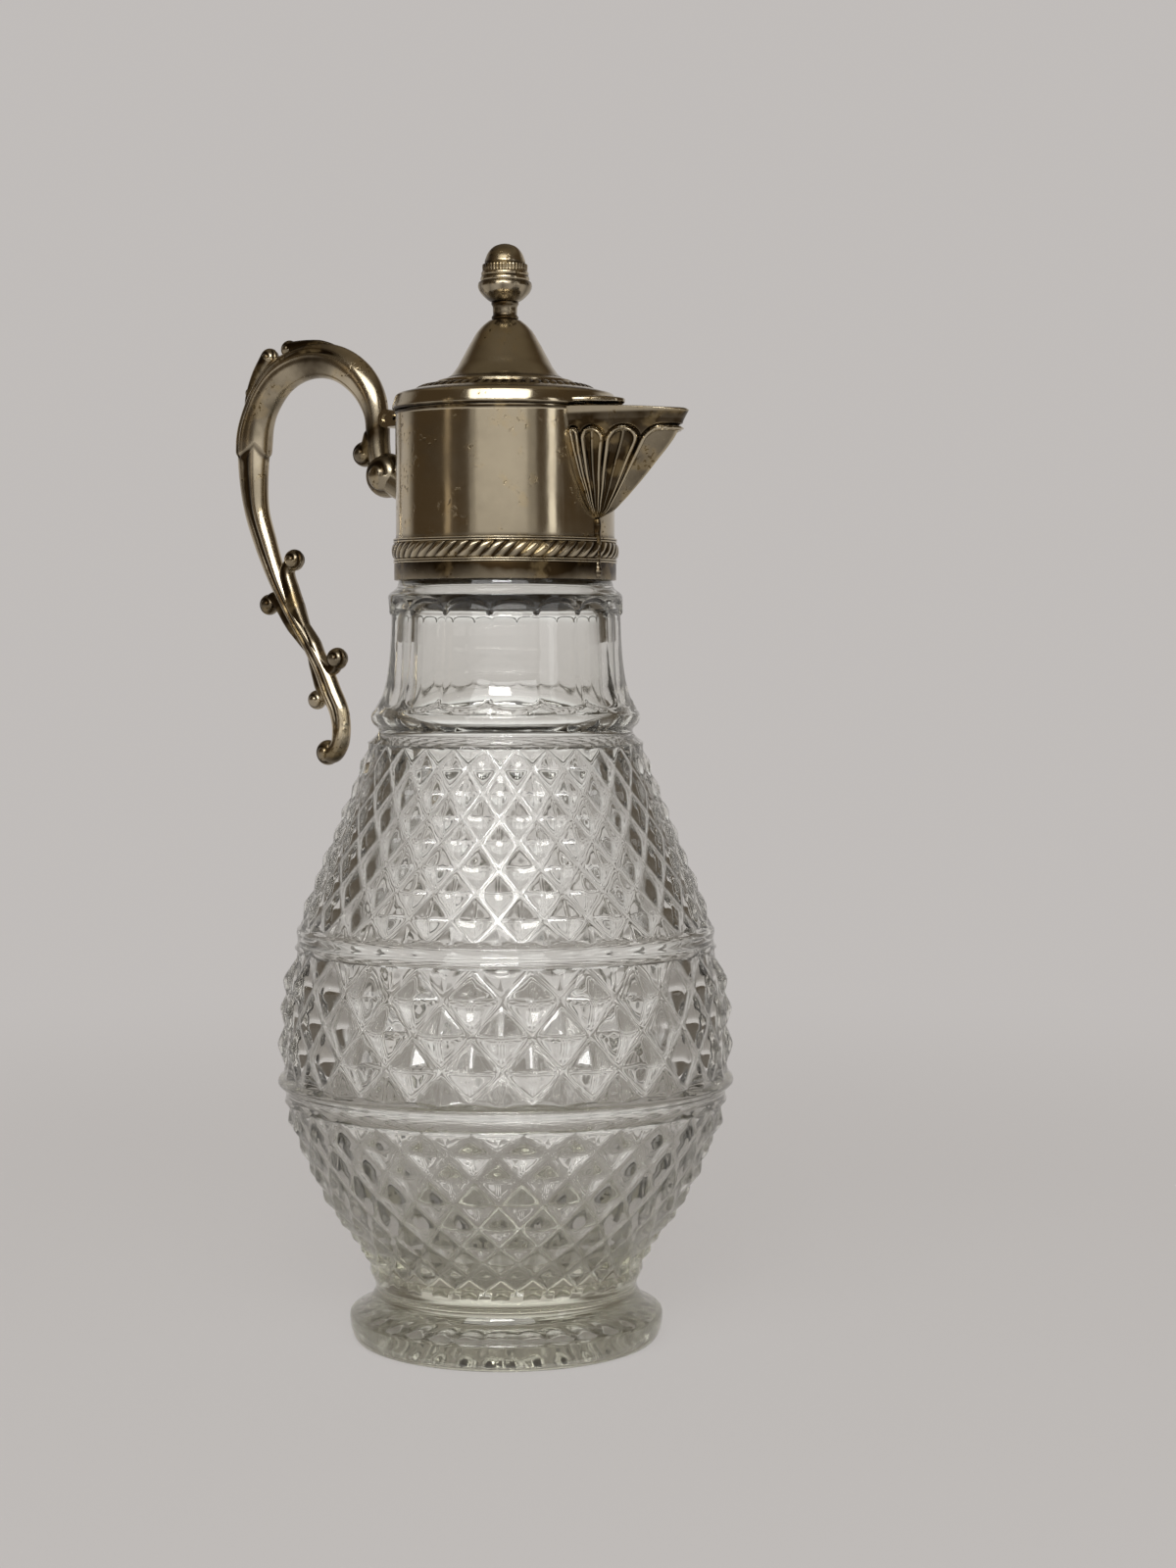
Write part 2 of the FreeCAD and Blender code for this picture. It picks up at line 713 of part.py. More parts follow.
def make_collar(doc, s, z):
    """Plain sleeve, opened into the spout by a pointed notch."""
    body = tube(doc, "collar_sleeve", s["collar_bore"], s["collar_radius"], z["collar"], z["collar_top"])
    half = s["spout_half_width"] - s["notch_inset"]
    low = z["spout"] + s["notch_rise"]
    high = z["collar_top"] + s["overrun"]
    steps = [(None, (half, high)), (None, (-half, high)), (None, (ZERO, low))]
    sketch = closed_sketch(body, "spout_notch_outline", "YZ_Plane", (ZERO, low), steps)
    cut_through(body, sketch, "spout_notch", reverse=True)
    return body


def make_band(doc, label, s, low, height, relief):
    """Rounded strip round the sleeve, with its ends butted against the seam rib."""
    high = low + height
    crest = s["collar_radius"] + relief
    middle = between(low, high, HALF_SHARE)
    steps = [((crest, middle), (s["collar_radius"], high)), (None, (s["collar_radius"], low))]
    body = turned(doc, label, (s["collar_radius"], low), steps)
    slot_towards_spout(body, f"{label}_joint", s["seam_half"], low - s["overrun"], high + s["overrun"])
    return body


def make_bands(doc, s, z):
    """Skirt strip, rope moulding and the two wires that border it, stacked from the lower edge up."""
    skirt_top = z["collar"] + s["skirt_height"]
    outer = s["collar_radius"] + s["skirt_thickness"]
    skirt = tube(doc, "skirt_band", s["collar_radius"], outer, z["collar"], skirt_top)
    slot_low = z["collar"] - s["overrun"]
    slot_towards_spout(skirt, "skirt_band_joint", s["seam_half"], slot_low, skirt_top + s["overrun"])
    rope_low = skirt_top + s["band_wire_height"]
    rope_top = rope_low + s["rope_height"]
    return [
        skirt,
        make_band(doc, "lower_band_wire", s, skirt_top, s["band_wire_height"], s["band_wire_relief"]),
        make_band(doc, "rope_band", s, rope_low, s["rope_height"], s["rope_relief"]),
        make_band(doc, "upper_band_wire", s, rope_top, s["band_wire_height"], s["band_wire_relief"]),
    ]


def make_seam_rib(doc, s, z):
    """Narrow rib from the lower edge up to the spout, over the butted ends of the strips."""
    body = new_body(doc, "seam_rib")
    half = s["seam_half"]
    outer = s["collar_radius"] + s["seam_relief"]
    inner = s["collar_bore"]
    steps = [
        (None, (outer, half)),
        (None, (inner, half)),
        (None, (inner, -half)),
        (None, (outer, -half)),
    ]
    sketch = closed_sketch(body, "seam_rib_outline", "XY_Plane", (outer, -half), steps, lift=z["collar"])
    rib = body.newObject("PartDesign::Pad", "seam_rib_height")
    rib.Profile = sketch
    rib.setExpression("Length", (z["spout"] - z["collar"]).formula)
    bore = circle_sketch(body, "seam_rib_seat", "XY_Plane", s["collar_radius"])
    cut_through(body, bore, "seam_rib_fit", both_ways=True)
    return body


def spout_outline(s, z, shares, inset, fluted):
    """Return one level section of the spout as a closed wire, pulled in by an inset."""
    height_share, reach_share, width_share, flute_share = shares
    level = z["spout"].number + s["spout_drop"].number * height_share
    root = s["collar_bore"].number
    reach = s["collar_wall"].number + s["spout_reach"].number * reach_share - inset
    half = s["spout_half_width"].number * width_share - inset * HALF_SHARE
    relief = s["flute_relief"].number * flute_share if fluted else 0

    def place(across, bulge):
        """Return the point at a share across the section, pushed outwards by a bulge."""
        nose = 1 - abs(across) ** SPOUT_NOSE_SHARE
        x = root + reach * nose + bulge * nose
        y = half * across + bulge * across
        return FreeCAD.Vector(x, y, level)

    corners = [place(2 * index / FLUTES - 1, 0) for index in range(FLUTES + 1)]
    edges = []
    for index in range(FLUTES):
        middle = place((2 * index + 1) / FLUTES - 1, relief)
        edges.append(Part.Arc(corners[index], middle, corners[index + 1]).toShape())
    back = root * HALF_SHARE
    far = FreeCAD.Vector(back, corners[-1].y, level)
    near = FreeCAD.Vector(back, corners[0].y, level)
    edges.append(Part.LineSegment(corners[-1], far).toShape())
    edges.append(Part.LineSegment(far, near).toShape())
    edges.append(Part.LineSegment(near, corners[0]).toShape())
    return Part.Wire(edges)


def make_spout(doc, s, z):
    """Pressed fan of flutes under a plain lip, open at the back and on top, fitted to the sleeve."""
    outer = Part.makeLoft([spout_outline(s, z, row, 0, True) for row in SPOUT_SECTION_SHARES], True, True)
    wall = s["spout_wall"].number
    inner_rows = SPOUT_SECTION_SHARES[1:]
    inner = Part.makeLoft([spout_outline(s, z, row, wall, False) for row in inner_rows], True, True)
    shell = outer.cut(inner)
    overrun = s["overrun"].number
    height = s["spout_drop"].number + 2 * overrun
    floor = FreeCAD.Vector(0, 0, z["spout"].number - overrun)
    shell = shell.cut(Part.makeCylinder(s["collar_radius"].number, height, floor))
    shell = shell.cut(lip_cutter(s, z))
    spout = doc.addObject("Part::Feature", "spout")
    spout.Label = "spout"
    spout.Shape = max(shell.Solids, key=lambda solid: solid.Volume)
    spout.Placement = FreeCAD.Placement()
    return spout


def lip_cutter(s, z):
    """Return the wedge above the lip, which falls from the sleeve to the tip."""
    top = z["collar_top"].number
    near = s["collar_bore"].number
    far = s["collar_radius"].number + s["spout_reach"].number + s["overrun"].number
    half = s["spout_half_width"].number + s["overrun"].number
    high = top + s["overrun"].number
    corners = [
        FreeCAD.Vector(near, -half, top),
        FreeCAD.Vector(far, -half, top - s["lip_fall"].number),
        FreeCAD.Vector(far, -half, high),
        FreeCAD.Vector(near, -half, high),
    ]
    side = Part.Face(Part.makePolygon(corners + corners[:1]))
    return side.extrude(FreeCAD.Vector(0, 2 * half, 0))


def handle_place(s, z, reach_share, height_share):
    """Return a point of the handle's plane at shares of its reach and height."""
    x = -s["collar_radius"].number - s["handle_reach"].number * reach_share
    top = z["collar_top"].number + s["handle_rise"].number
    return FreeCAD.Vector(x, 0, top - s["handle_height"].number * (1 - height_share))


def oval(centre, along, depth, width):
    """Return an oval section square to a direction of the handle's plane."""
    outward = FreeCAD.Vector(along.z, 0, -along.x).normalize()
    sideways = FreeCAD.Vector(0, 1, 0)
    if depth >= width:
        tips = (centre + outward * depth, centre + sideways * width)
    else:
        tips = (centre + sideways * width, centre + outward * depth)
    return Part.Wire([Part.Ellipse(tips[0], tips[1], centre).toShape()])


def tendril(s, start, end):
    """Return a tapered stalk that carries a bud."""
    thick = s["tendril_radius"].number
    axis = end - start
    stalk = Part.makeCone(thick, thick * HALF_SHARE, axis.Length, start, axis)
    return stalk.fuse(Part.makeSphere(s["bud_radius"].number, end))


def make_handle(doc, s, z):
    """Cast scroll: a foot on the sleeve, an arch, and a tail with buds that hangs free."""
    places = [handle_place(s, z, row[0], row[1]) for row in HANDLE_LINE_SHARES]
    line = Part.BSplineCurve()
    line.interpolate(places)
    sections = []
    for place, row in zip(places, HANDLE_LINE_SHARES):
        along = line.tangent(line.parameter(place))[0]
        depth = s["handle_depth"].number / 2 * row[2]
        width = s["handle_width"].number / 2 * row[3]
        sections.append(oval(place, along, depth, width))
    solid = Part.makeLoft(sections, True, False)
    extras = []
    for reach, height, from_reach, from_height in BUD_SHARES:
        start = handle_place(s, z, from_reach, from_height)
        extras.append(tendril(s, start, handle_place(s, z, reach, height)))
    for reach, height in BEAD_SHARES:
        extras.append(Part.makeSphere(s["bead_radius"].number, handle_place(s, z, reach, height)))
    extras.append(Part.makeSphere(s["curl_radius"].number, handle_place(s, z, *CURL_SHARES)))
    solid = solid.fuse(extras)
    overrun = s["overrun"].number
    floor = FreeCAD.Vector(0, 0, z["collar"].number - overrun)
    sleeve = Part.makeCylinder(s["collar_radius"].number, s["collar_height"].number + 2 * overrun, floor)
    solid = solid.cut(sleeve)
    handle = doc.addObject("Part::Feature", "handle")
    handle.Label = "handle"
    handle.Shape = max(solid.Solids, key=lambda part: part.Volume)
    handle.Placement = FreeCAD.Placement()
    return handle


def cross_rod(doc, name, s, z, radius, length):
    """Make a round rod along the hinge axis, centred on the jug's middle plane."""
    rod = doc.addObject("Part::Cylinder", name)
    rod.setExpression("Radius", radius.formula)
    rod.setExpression("Height", length.formula)
    turn = FreeCAD.Rotation(FreeCAD.Vector(1, 0, 0), -90)
    rod.Placement = FreeCAD.Placement(FreeCAD.Vector(0, 0, 0), turn)
    rod.setExpression("Placement.Base.x", (-s["hinge_back"]).formula)
    rod.setExpression("Placement.Base.y", (-length / 2).formula)
    rod.setExpression("Placement.Base.z", z["hinge"].formula)
    return rod


def upright_rod(doc, name, radius, low, high):
    """Make a round rod on the jug's own axis."""
    rod = doc.addObject("Part::Cylinder", name)
    rod.setExpression("Radius", radius.formula)
    rod.setExpression("Height", (high - low).formula)
    rod.setExpression("Placement.Base.z", low.formula)
    return rod


def leaf_block(doc, name, s, width, low, high):
    """Make the flat leaf from the hinge axis forwards to the sleeve or the lid."""
    block = doc.addObject("Part::Box", name)
    block.setExpression("Length", s["hinge_back"].formula)
    block.setExpression("Width", width.formula)
    block.setExpression("Height", (high - low).formula)
    block.setExpression("Placement.Base.x", (-s["hinge_back"]).formula)
    block.setExpression("Placement.Base.y", (-width / 2).formula)
    block.setExpression("Placement.Base.z", low.formula)
    return block


def joined(doc, name, base, tool):
    """Fuse two pieces of one sub-part."""
    union = doc.addObject("Part::Fuse", name)
    union.Base = base
    union.Tool = tool
    return union


def without(doc, name, base, tool):
    """Cut one piece out of another."""
    rest = doc.addObject("Part::Cut", name)
    rest.Base = base
    rest.Tool = tool
    return rest


def make_hinge(doc, s, z):
    """Fixed leaf with two knuckles, lid leaf with the middle knuckle, and the pin."""
    length = s["hinge_length"]
    bore = s["pin_radius"] + s["pin_clearance"]
    run = s["overrun"]
    long_rod = length + run
    top = z["hinge"] - s["knuckle_radius"] + s["leaf_drop"]
    bottom = top - s["leaf_thickness"]
    knuckles = cross_rod(doc, "collar_knuckles", s, z, s["knuckle_radius"], length)
    leaf = leaf_block(doc, "collar_leaf", s, length, bottom, top)
    fixed = joined(doc, "collar_leaf_blank", knuckles, leaf)
    sleeve = upright_rod(doc, "collar_leaf_seat", s["collar_radius"], bottom - run, top + run)
    fixed = without(doc, "collar_leaf_fitted", fixed, sleeve)
    slot = s["lid_knuckle_length"] + 2 * s["knuckle_gap"]
    room = cross_rod(doc, "middle_knuckle_room", s, z, s["knuckle_radius"] + s["knuckle_gap"], slot)
    fixed = without(doc, "collar_leaf_slotted", fixed, room)
    drill = cross_rod(doc, "collar_leaf_bore", s, z, bore, long_rod)
    fixed = without(doc, "collar_hinge_leaf", fixed, drill)

    middle = cross_rod(doc, "lid_knuckle", s, z, s["knuckle_radius"], s["lid_knuckle_length"])
    lid_low = z["lid"] + s["knuckle_gap"]
    lid_high = lid_low + s["leaf_thickness"]
    tab = leaf_block(doc, "lid_leaf", s, s["lid_knuckle_length"], lid_low, lid_high)
    moving = joined(doc, "lid_leaf_blank", middle, tab)
    seat = upright_rod(doc, "lid_leaf_seat", s["lid_radius"], lid_low - run, lid_high + run)
    moving = without(doc, "lid_leaf_fitted", moving, seat)
    lid_drill = cross_rod(doc, "lid_leaf_bore", s, z, bore, long_rod)
    moving = without(doc, "lid_hinge_leaf", moving, lid_drill)

    pin = cross_rod(doc, "hinge_pin", s, z, s["pin_radius"], length - 2 * s["pin_recess"])
    return [fixed, moving, pin]


def make_cover(doc, s, z):
    """Lid rim and sloping cover in one, with a flat tongue over the root of the spout."""
    body = new_body(doc, "lid_cover")
    root = s["lid_radius"] - s["lid_wall"] * HALF_SHARE
    tip = s["lid_radius"] + s["tongue_reach"]
    half = s["tongue_half_width"]
    tip_half = s["tongue_tip_half_width"]
    back = s["lid_radius"] * TONGUE_ROOT_SHARE
    shoulder = tip - s["tongue_tip_setback"]
    tongue_steps = [
        (None, (shoulder, tip_half)),
        ((tip, ZERO), (shoulder, -tip_half)),
        (None, (back, -half)),
        (None, (back, half)),
    ]
    outline = closed_sketch(body, "tongue_outline", "XY_Plane", (back, half), tongue_steps, lift=z["lid"])
    tongue = body.newObject("PartDesign::Pad", "tongue")
    tongue.Profile = outline
    tongue.setExpression("Length", s["tongue_thickness"].formula)
    inside = circle_sketch(body, "tongue_root", "XY_Plane", root)
    cut_through(body, inside, "tongue_fit", both_ways=True)
    edge = s["lid_radius"] - s["lid_edge_round"]
    bend = s["lid_radius"] - s["lid_edge_round"] * (1 - HALF_SHARE ** HALF_SHARE)
    bend_height = z["rim"] - s["lid_edge_round"] * (1 - HALF_SHARE ** HALF_SHARE)
    wall_inner = s["lid_radius"] - s["lid_wall"]
    hole = s["cover_hole_radius"]
    steps = [
        (None, (s["lid_radius"], z["rim"] - s["lid_edge_round"])),
        ((bend, bend_height), (edge, z["rim"])),
        (None, (hole, cover_top(s, z, hole))),
        (None, (hole, cover_underside(s, z, hole))),
        (None, (wall_inner, cover_underside(s, z, wall_inner))),
        (None, (wall_inner, z["lid"])),
        (None, (s["lid_radius"], z["lid"])),
    ]
    add_turning(body, "lid_cover", (s["lid_radius"], z["lid"]), steps)
    return body


def make_bead_ring(doc, s, z):
    """Rounded ring that lies on the slope of the cover."""
    inner = s["bead_ring_radius"] - s["bead_ring_width"] / 2
    outer = s["bead_ring_radius"] + s["bead_ring_width"] / 2
    crest = (s["bead_ring_radius"], cover_top(s, z, s["bead_ring_radius"]) + s["bead_ring_rise"])
    start = (outer, cover_top(s, z, outer))
    steps = [(crest, (inner, cover_top(s, z, inner))), (None, start)]
    return turned(doc, "lid_bead_ring", start, steps)


def make_locating_ring(doc, s, z):
    """Inner flange soldered under the cover, which drops into the sleeve."""
    outer = s["locating_radius"]
    inner = outer - s["locating_wall"]
    low = z["lid"] - s["locating_depth"]
    steps = [
        (None, (outer, cover_underside(s, z, outer))),
        (None, (inner, cover_underside(s, z, inner))),
        (None, (inner, low)),
        (None, (outer, low)),
    ]
    return turned(doc, "lid_locating_ring", (outer, low), steps)


def make_dome(doc, s, z):
    """Spun bell that stands on the cover: a foot, a hollow flare, a swelling and a flat crown."""
    wall = s["dome_wall"]
    foot = s["dome_foot_radius"]
    waist = s["dome_waist_radius"]
    crown = s["dome_crown_radius"]
    foot_top = z["dome"] + s["dome_foot_height"]
    waist_height = foot_top + s["dome_waist_height"]
    flare_radius = between(foot, waist, HALF_SHARE) - s["dome_flare"]
    flare = (flare_radius, between(foot_top, waist_height, HALF_SHARE))
    swell_height = between(waist_height, z["crown"], HALF_SHARE)
    swell = (between(waist, crown, HALF_SHARE) + s["dome_swell"], swell_height)
    inner_crown = crown - wall
    inner_top = z["crown"] - wall
    inner_swell_radius = between(waist - wall, inner_crown, HALF_SHARE) + s["dome_swell"]
    inner_swell = (inner_swell_radius, swell_height - wall * HALF_SHARE)
    steps = [
        (None, (foot, foot_top)),
        (flare, (waist, waist_height)),
        (swell, (crown, z["crown"])),
        (None, (s["stud_hole"], z["crown"])),
        (None, (s["stud_hole"], inner_top)),
        (None, (inner_crown, inner_top)),
        (inner_swell, (waist - wall, waist_height)),
        ((flare[0] - wall, flare[1] - wall * HALF_SHARE), (foot - wall, cover_top(s, z, foot - wall))),
        (None, (foot, z["dome"])),
    ]
    return turned(doc, "lid_dome", (foot, z["dome"]), steps)


def make_finial(doc, s, z):
    """Stem, acorn cup and acorn, drawn down on the dome by a stud with a washer and a nut."""
    hole = s["stud_hole"]
    stem = s["stem_radius"]
    waist = (stem - s["stem_waist"], between(z["crown"], z["cup"], HALF_SHARE))
    stem_steps = [
        (waist, (stem, z["cup"])),
        (None, (hole, z["cup"])),
        (None, (hole, z["crown"])),
        (None, (stem, z["crown"])),
    ]
    cup_mid = between(s["cup_foot_radius"], s["cup_radius"], HALF_SHARE) + s["cup_swell"]
    cup_steps = [
        ((cup_mid, between(z["cup"], z["acorn"], HALF_SHARE)), (s["cup_radius"], z["acorn"])),
        (None, (hole, z["acorn"])),
        (None, (hole, z["cup"])),
        (None, (s["cup_foot_radius"], z["cup"])),
    ]
    grip = z["acorn"] + s["stud_grip"]
    tip = z["acorn"] + s["acorn_height"]
    tip_foot = tip - s["acorn_tip_height"]
    tip_radius = s["acorn_tip_radius"]
    shoulder_radius = between(s["acorn_radius"], tip_radius, HALF_SHARE) + s["acorn_swell"]
    shoulder_height = between(z["acorn"], tip_foot, ACORN_SHOULDER_SHARE)
    acorn_steps = [
        ((shoulder_radius, shoulder_height), (tip_radius, tip_foot)),
        (None, (tip_radius, tip)),
        (None, (ZERO, tip)),
        (None, (ZERO, grip)),
        (None, (hole, grip)),
        (None, (hole, z["acorn"])),
        (None, (s["acorn_radius"], z["acorn"])),
    ]
    stud = upright_rod(doc, "finial_stud", s["stud_radius"], z["nut"] - s["stud_tail"], grip)
    washer_low = z["nut"] + s["nut_height"]
    washer_high = washer_low + s["washer_thickness"]
    nut = doc.addObject("Part::Prism", "nut_blank")
    nut.Polygon = NUT_SIDES
    nut.setExpression("Circumradius", s["nut_radius"].formula)
    nut.setExpression("Height", s["nut_height"].formula)
    nut.setExpression("Placement.Base.z", z["nut"].formula)
    thread = upright_rod(doc, "nut_thread", hole, z["nut"] - s["overrun"], washer_high)
    return [
        turned(doc, "finial_stem", (stem, z["crown"]), stem_steps),
        turned(doc, "finial_cup", (s["cup_foot_radius"], z["cup"]), cup_steps),
        turned(doc, "finial_acorn", (s["acorn_radius"], z["acorn"]), acorn_steps),
        stud,
        tube(doc, "finial_washer", hole, s["washer_radius"], washer_low, washer_high),
        without(doc, "finial_nut", nut, thread),
    ]


def check(doc, pieces):
    """Stop if any object failed or any sub-part is not one valid solid."""
    for item in doc.Objects:
        if "Invalid" in item.State or "Error" in item.State:
            raise RuntimeError(f"{item.Label} did not build: {item.State}")
    for piece in pieces:
        if piece.Shape.isNull() or not piece.Shape.isValid():
            raise RuntimeError(f"{piece.Label} has no valid shape")
        if len(piece.Shape.Solids) != 1:
            raise RuntimeError(f"{piece.Label} is {len(piece.Shape.Solids)} solids")


def main():
    """Build the jug and write each sub-part to its own file."""
    doc = FreeCAD.newDocument("claret_jug")
    s = fill_sheet(doc)
    shared_sizes(s)
    z = heights(s)
    pieces = [
        make_bottle(doc, s, z),
        make_bedding(doc, s, z),
        make_mouth_ring(doc, s, z),
        make_collar(doc, s, z),
        *make_bands(doc, s, z),
        make_seam_rib(doc, s, z),
        make_spout(doc, s, z),
        make_handle(doc, s, z),
        *make_hinge(doc, s, z),
        make_cover(doc, s, z),
        make_bead_ring(doc, s, z),
        make_locating_ring(doc, s, z),
        make_dome(doc, s, z),
        *make_finial(doc, s, z),
    ]
    doc.recompute()
    check(doc, pieces)
    os.makedirs("parts", exist_ok=True)
    for piece in pieces:
        piece.Shape.exportStep(f"parts/{piece.Label}.step")
        print(piece.Label, round(piece.Shape.Volume, 1), piece.Shape.BoundBox)


main()
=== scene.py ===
"""Looks of the crystal jug: pressed glass in a worn silver-plated mount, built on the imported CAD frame."""

import logging
import math
from collections.abc import Callable, Sequence
from dataclasses import dataclass
from enum import Enum

import bpy
import numpy as np
from mathutils import Matrix, Vector


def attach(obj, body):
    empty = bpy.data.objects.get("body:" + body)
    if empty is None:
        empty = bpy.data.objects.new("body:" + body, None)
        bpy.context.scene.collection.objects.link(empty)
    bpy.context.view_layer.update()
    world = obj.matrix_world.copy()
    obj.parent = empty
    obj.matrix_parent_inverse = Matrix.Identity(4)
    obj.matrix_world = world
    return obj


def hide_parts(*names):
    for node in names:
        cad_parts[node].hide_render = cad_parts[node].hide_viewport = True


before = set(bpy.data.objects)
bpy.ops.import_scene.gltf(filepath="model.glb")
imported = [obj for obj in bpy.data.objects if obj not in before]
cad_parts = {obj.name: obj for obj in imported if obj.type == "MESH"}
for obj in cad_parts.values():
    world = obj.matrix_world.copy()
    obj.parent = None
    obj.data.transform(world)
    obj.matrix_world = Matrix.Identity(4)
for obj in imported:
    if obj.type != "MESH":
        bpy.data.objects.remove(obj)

LOG = logging.getLogger("crystal_jug")
MM = 0.001
TURN = 2.0 * math.pi
# Points that are nearer than this, in millimetres, are one point.
MERGE = 1e-4
# Height in a strand's half circle that lies on the plain section.
LEVEL = 0.85
Array = np.ndarray
Triple = tuple[float, float, float]
Colour = Triple
Table = tuple[tuple[float, ...], ...]
Relief = Callable[[Array, Array], tuple[Array | float, Array]]


class Body(Enum):
    """The CAD bodies that pieces ride on."""

    JUG = "jug"
    LID = "lid"


class Slot(Enum):
    """The record's material slots."""

    GLASS = "clear_glass"
    SILVER = "silver_plate"
    BRASS = "bare_brass"
    PLASTER = "plaster"


# Numbers and curves


def ease(low: float, high: float, x: Array) -> Array:
    """Return 0 at low and before it, 1 at high and past it, and a cubic S between them."""
    t = np.clip((x - low) / (high - low), 0.0, 1.0)
    return t * t * (3.0 - 2.0 * t)


def bell(distance: Array, width: float) -> Array:
    """Return exp of minus the square of distance over width: 1 in the middle, close to 0 past two widths."""
    return np.exp(-((distance / width) ** 2))


def arc(share: Array) -> Array:
    """Return half a circle over shares from -1 to 1: the root of 1 minus the share's square."""
    return np.sqrt(np.clip(1.0 - share**2, 0.0, 1.0))


def spaced(*spans: tuple[float, float, int]) -> Array:
    """Return places in several spans, each from its start to its end with its own count."""
    return np.concatenate([np.linspace(*span) for span in spans])


def lengths(points: Array) -> Array:
    """Return how far along the chords each point lies."""
    return np.concatenate([[0.0], np.cumsum(np.linalg.norm(np.diff(points, axis=0), axis=1))])


def around(radius: Array, angle: Array, height: Array) -> Array:
    """Return places round the jug's axis: x = r cos a, y = r sin a, z = height."""
    return np.stack(np.broadcast_arrays(radius * np.cos(angle), radius * np.sin(angle), height), axis=-1)


def circle(count: int) -> Array:
    """Return angles once round, in one row."""
    return np.arange(count)[None, :] * TURN / count


def spline(knots: Array, values: Array, at: Array) -> Array:
    """Return a smooth curve through knots: in each span the cubic with the mean slopes of the spans around.

    Args:
        knots: Rising places, n of them.
        values: What the curve passes through, n or n by d.
        at: Places to work it out at.

    Returns:
        The curve at each place.
    """
    slopes = np.gradient(values, knots, axis=0)
    span = np.clip(np.searchsorted(knots, at, side="right") - 1, 0, len(knots) - 2)
    width = knots[span + 1] - knots[span]
    t = (at - knots[span]) / width
    if values.ndim > 1:
        t, width = t[:, None], width[:, None]
    rise = t * t * (3.0 - 2.0 * t)
    leave = slopes[span] * (t * (1.0 - t) ** 2 * width)
    arrive = slopes[span + 1] * (t * t * (t - 1.0) * width)
    return values[span] * (1.0 - rise) + values[span + 1] * rise + leave + arrive


def column(table: Table, at: Array, which: int = 1) -> Array:
    """Return one column of a table as a smooth function of its first column."""
    rows = np.array(table)
    return spline(rows[:, 0], rows[:, which], np.asarray(at, float))


def path(points: Sequence[Sequence[float]], count: int) -> Array:
    """Return evenly spaced points of a smooth line: a spline over the length of the chords.

    Args:
        points: Points that the line passes through.
        count: How many points are wanted.

    Returns:
        The points, count by d.
    """
    stops = np.array(points, float)
    along = lengths(stops)
    return spline(along, stops, np.linspace(0.0, along[-1], count))


def eased(profile: Table, radius: float, steps: int = 4, most: float = 0.45) -> Array:
    """Round every corner of a closed outline: a parabola from a radius before it to a radius after it.

    Args:
        profile: Corners of the outline.
        radius: Length that is taken off each side.
        steps: Points on each rounding.
        most: Largest share of a side that is taken off.

    Returns:
        The rounded outline.
    """
    corners = np.array(profile, float)
    t = np.linspace(0.0, 1.0, steps)[None, :, None]
    bow = corners[:, None]
    for way, share in ((1, (1.0 - t) ** 2), (-1, t**2)):
        side = np.roll(corners, way, axis=0) - corners
        cut = side * np.minimum(radius / np.linalg.norm(side, axis=1), most)[:, None]
        bow = bow + cut[:, None] * share
    return bow.reshape(-1, corners.shape[1])


def unevenness(angle: Array, height: Array, seed: int) -> Array:
    """Return slow hand-made waviness between about -1 and 1: a sum of six waves round and along the piece.

    Args:
        angle: Angles round the axis.
        height: Heights in millimetres.
        seed: Which set of waves.

    Returns:
        The waviness at each place.
    """
    dice = np.random.default_rng(seed)
    total = np.zeros(np.broadcast(angle, height).shape)
    for turns in range(2, 8):
        along, shift = dice.uniform(-0.25, 0.25), dice.uniform(0.0, TURN)
        total = total + np.cos(turns * angle + along * height + shift)
    return total / 3.0


def worn(dents: float, seed: int, grime_and_shade: Callable[[Array], Array]) -> Relief:
    """Return a relief of slow dents, with a darkening share that follows from the height alone: patina, and
    on the lid's cover also painted shade.
    """
    return lambda angle, height: (dents * unevenness(angle, height, seed), grime_and_shade(height))


# Meshes


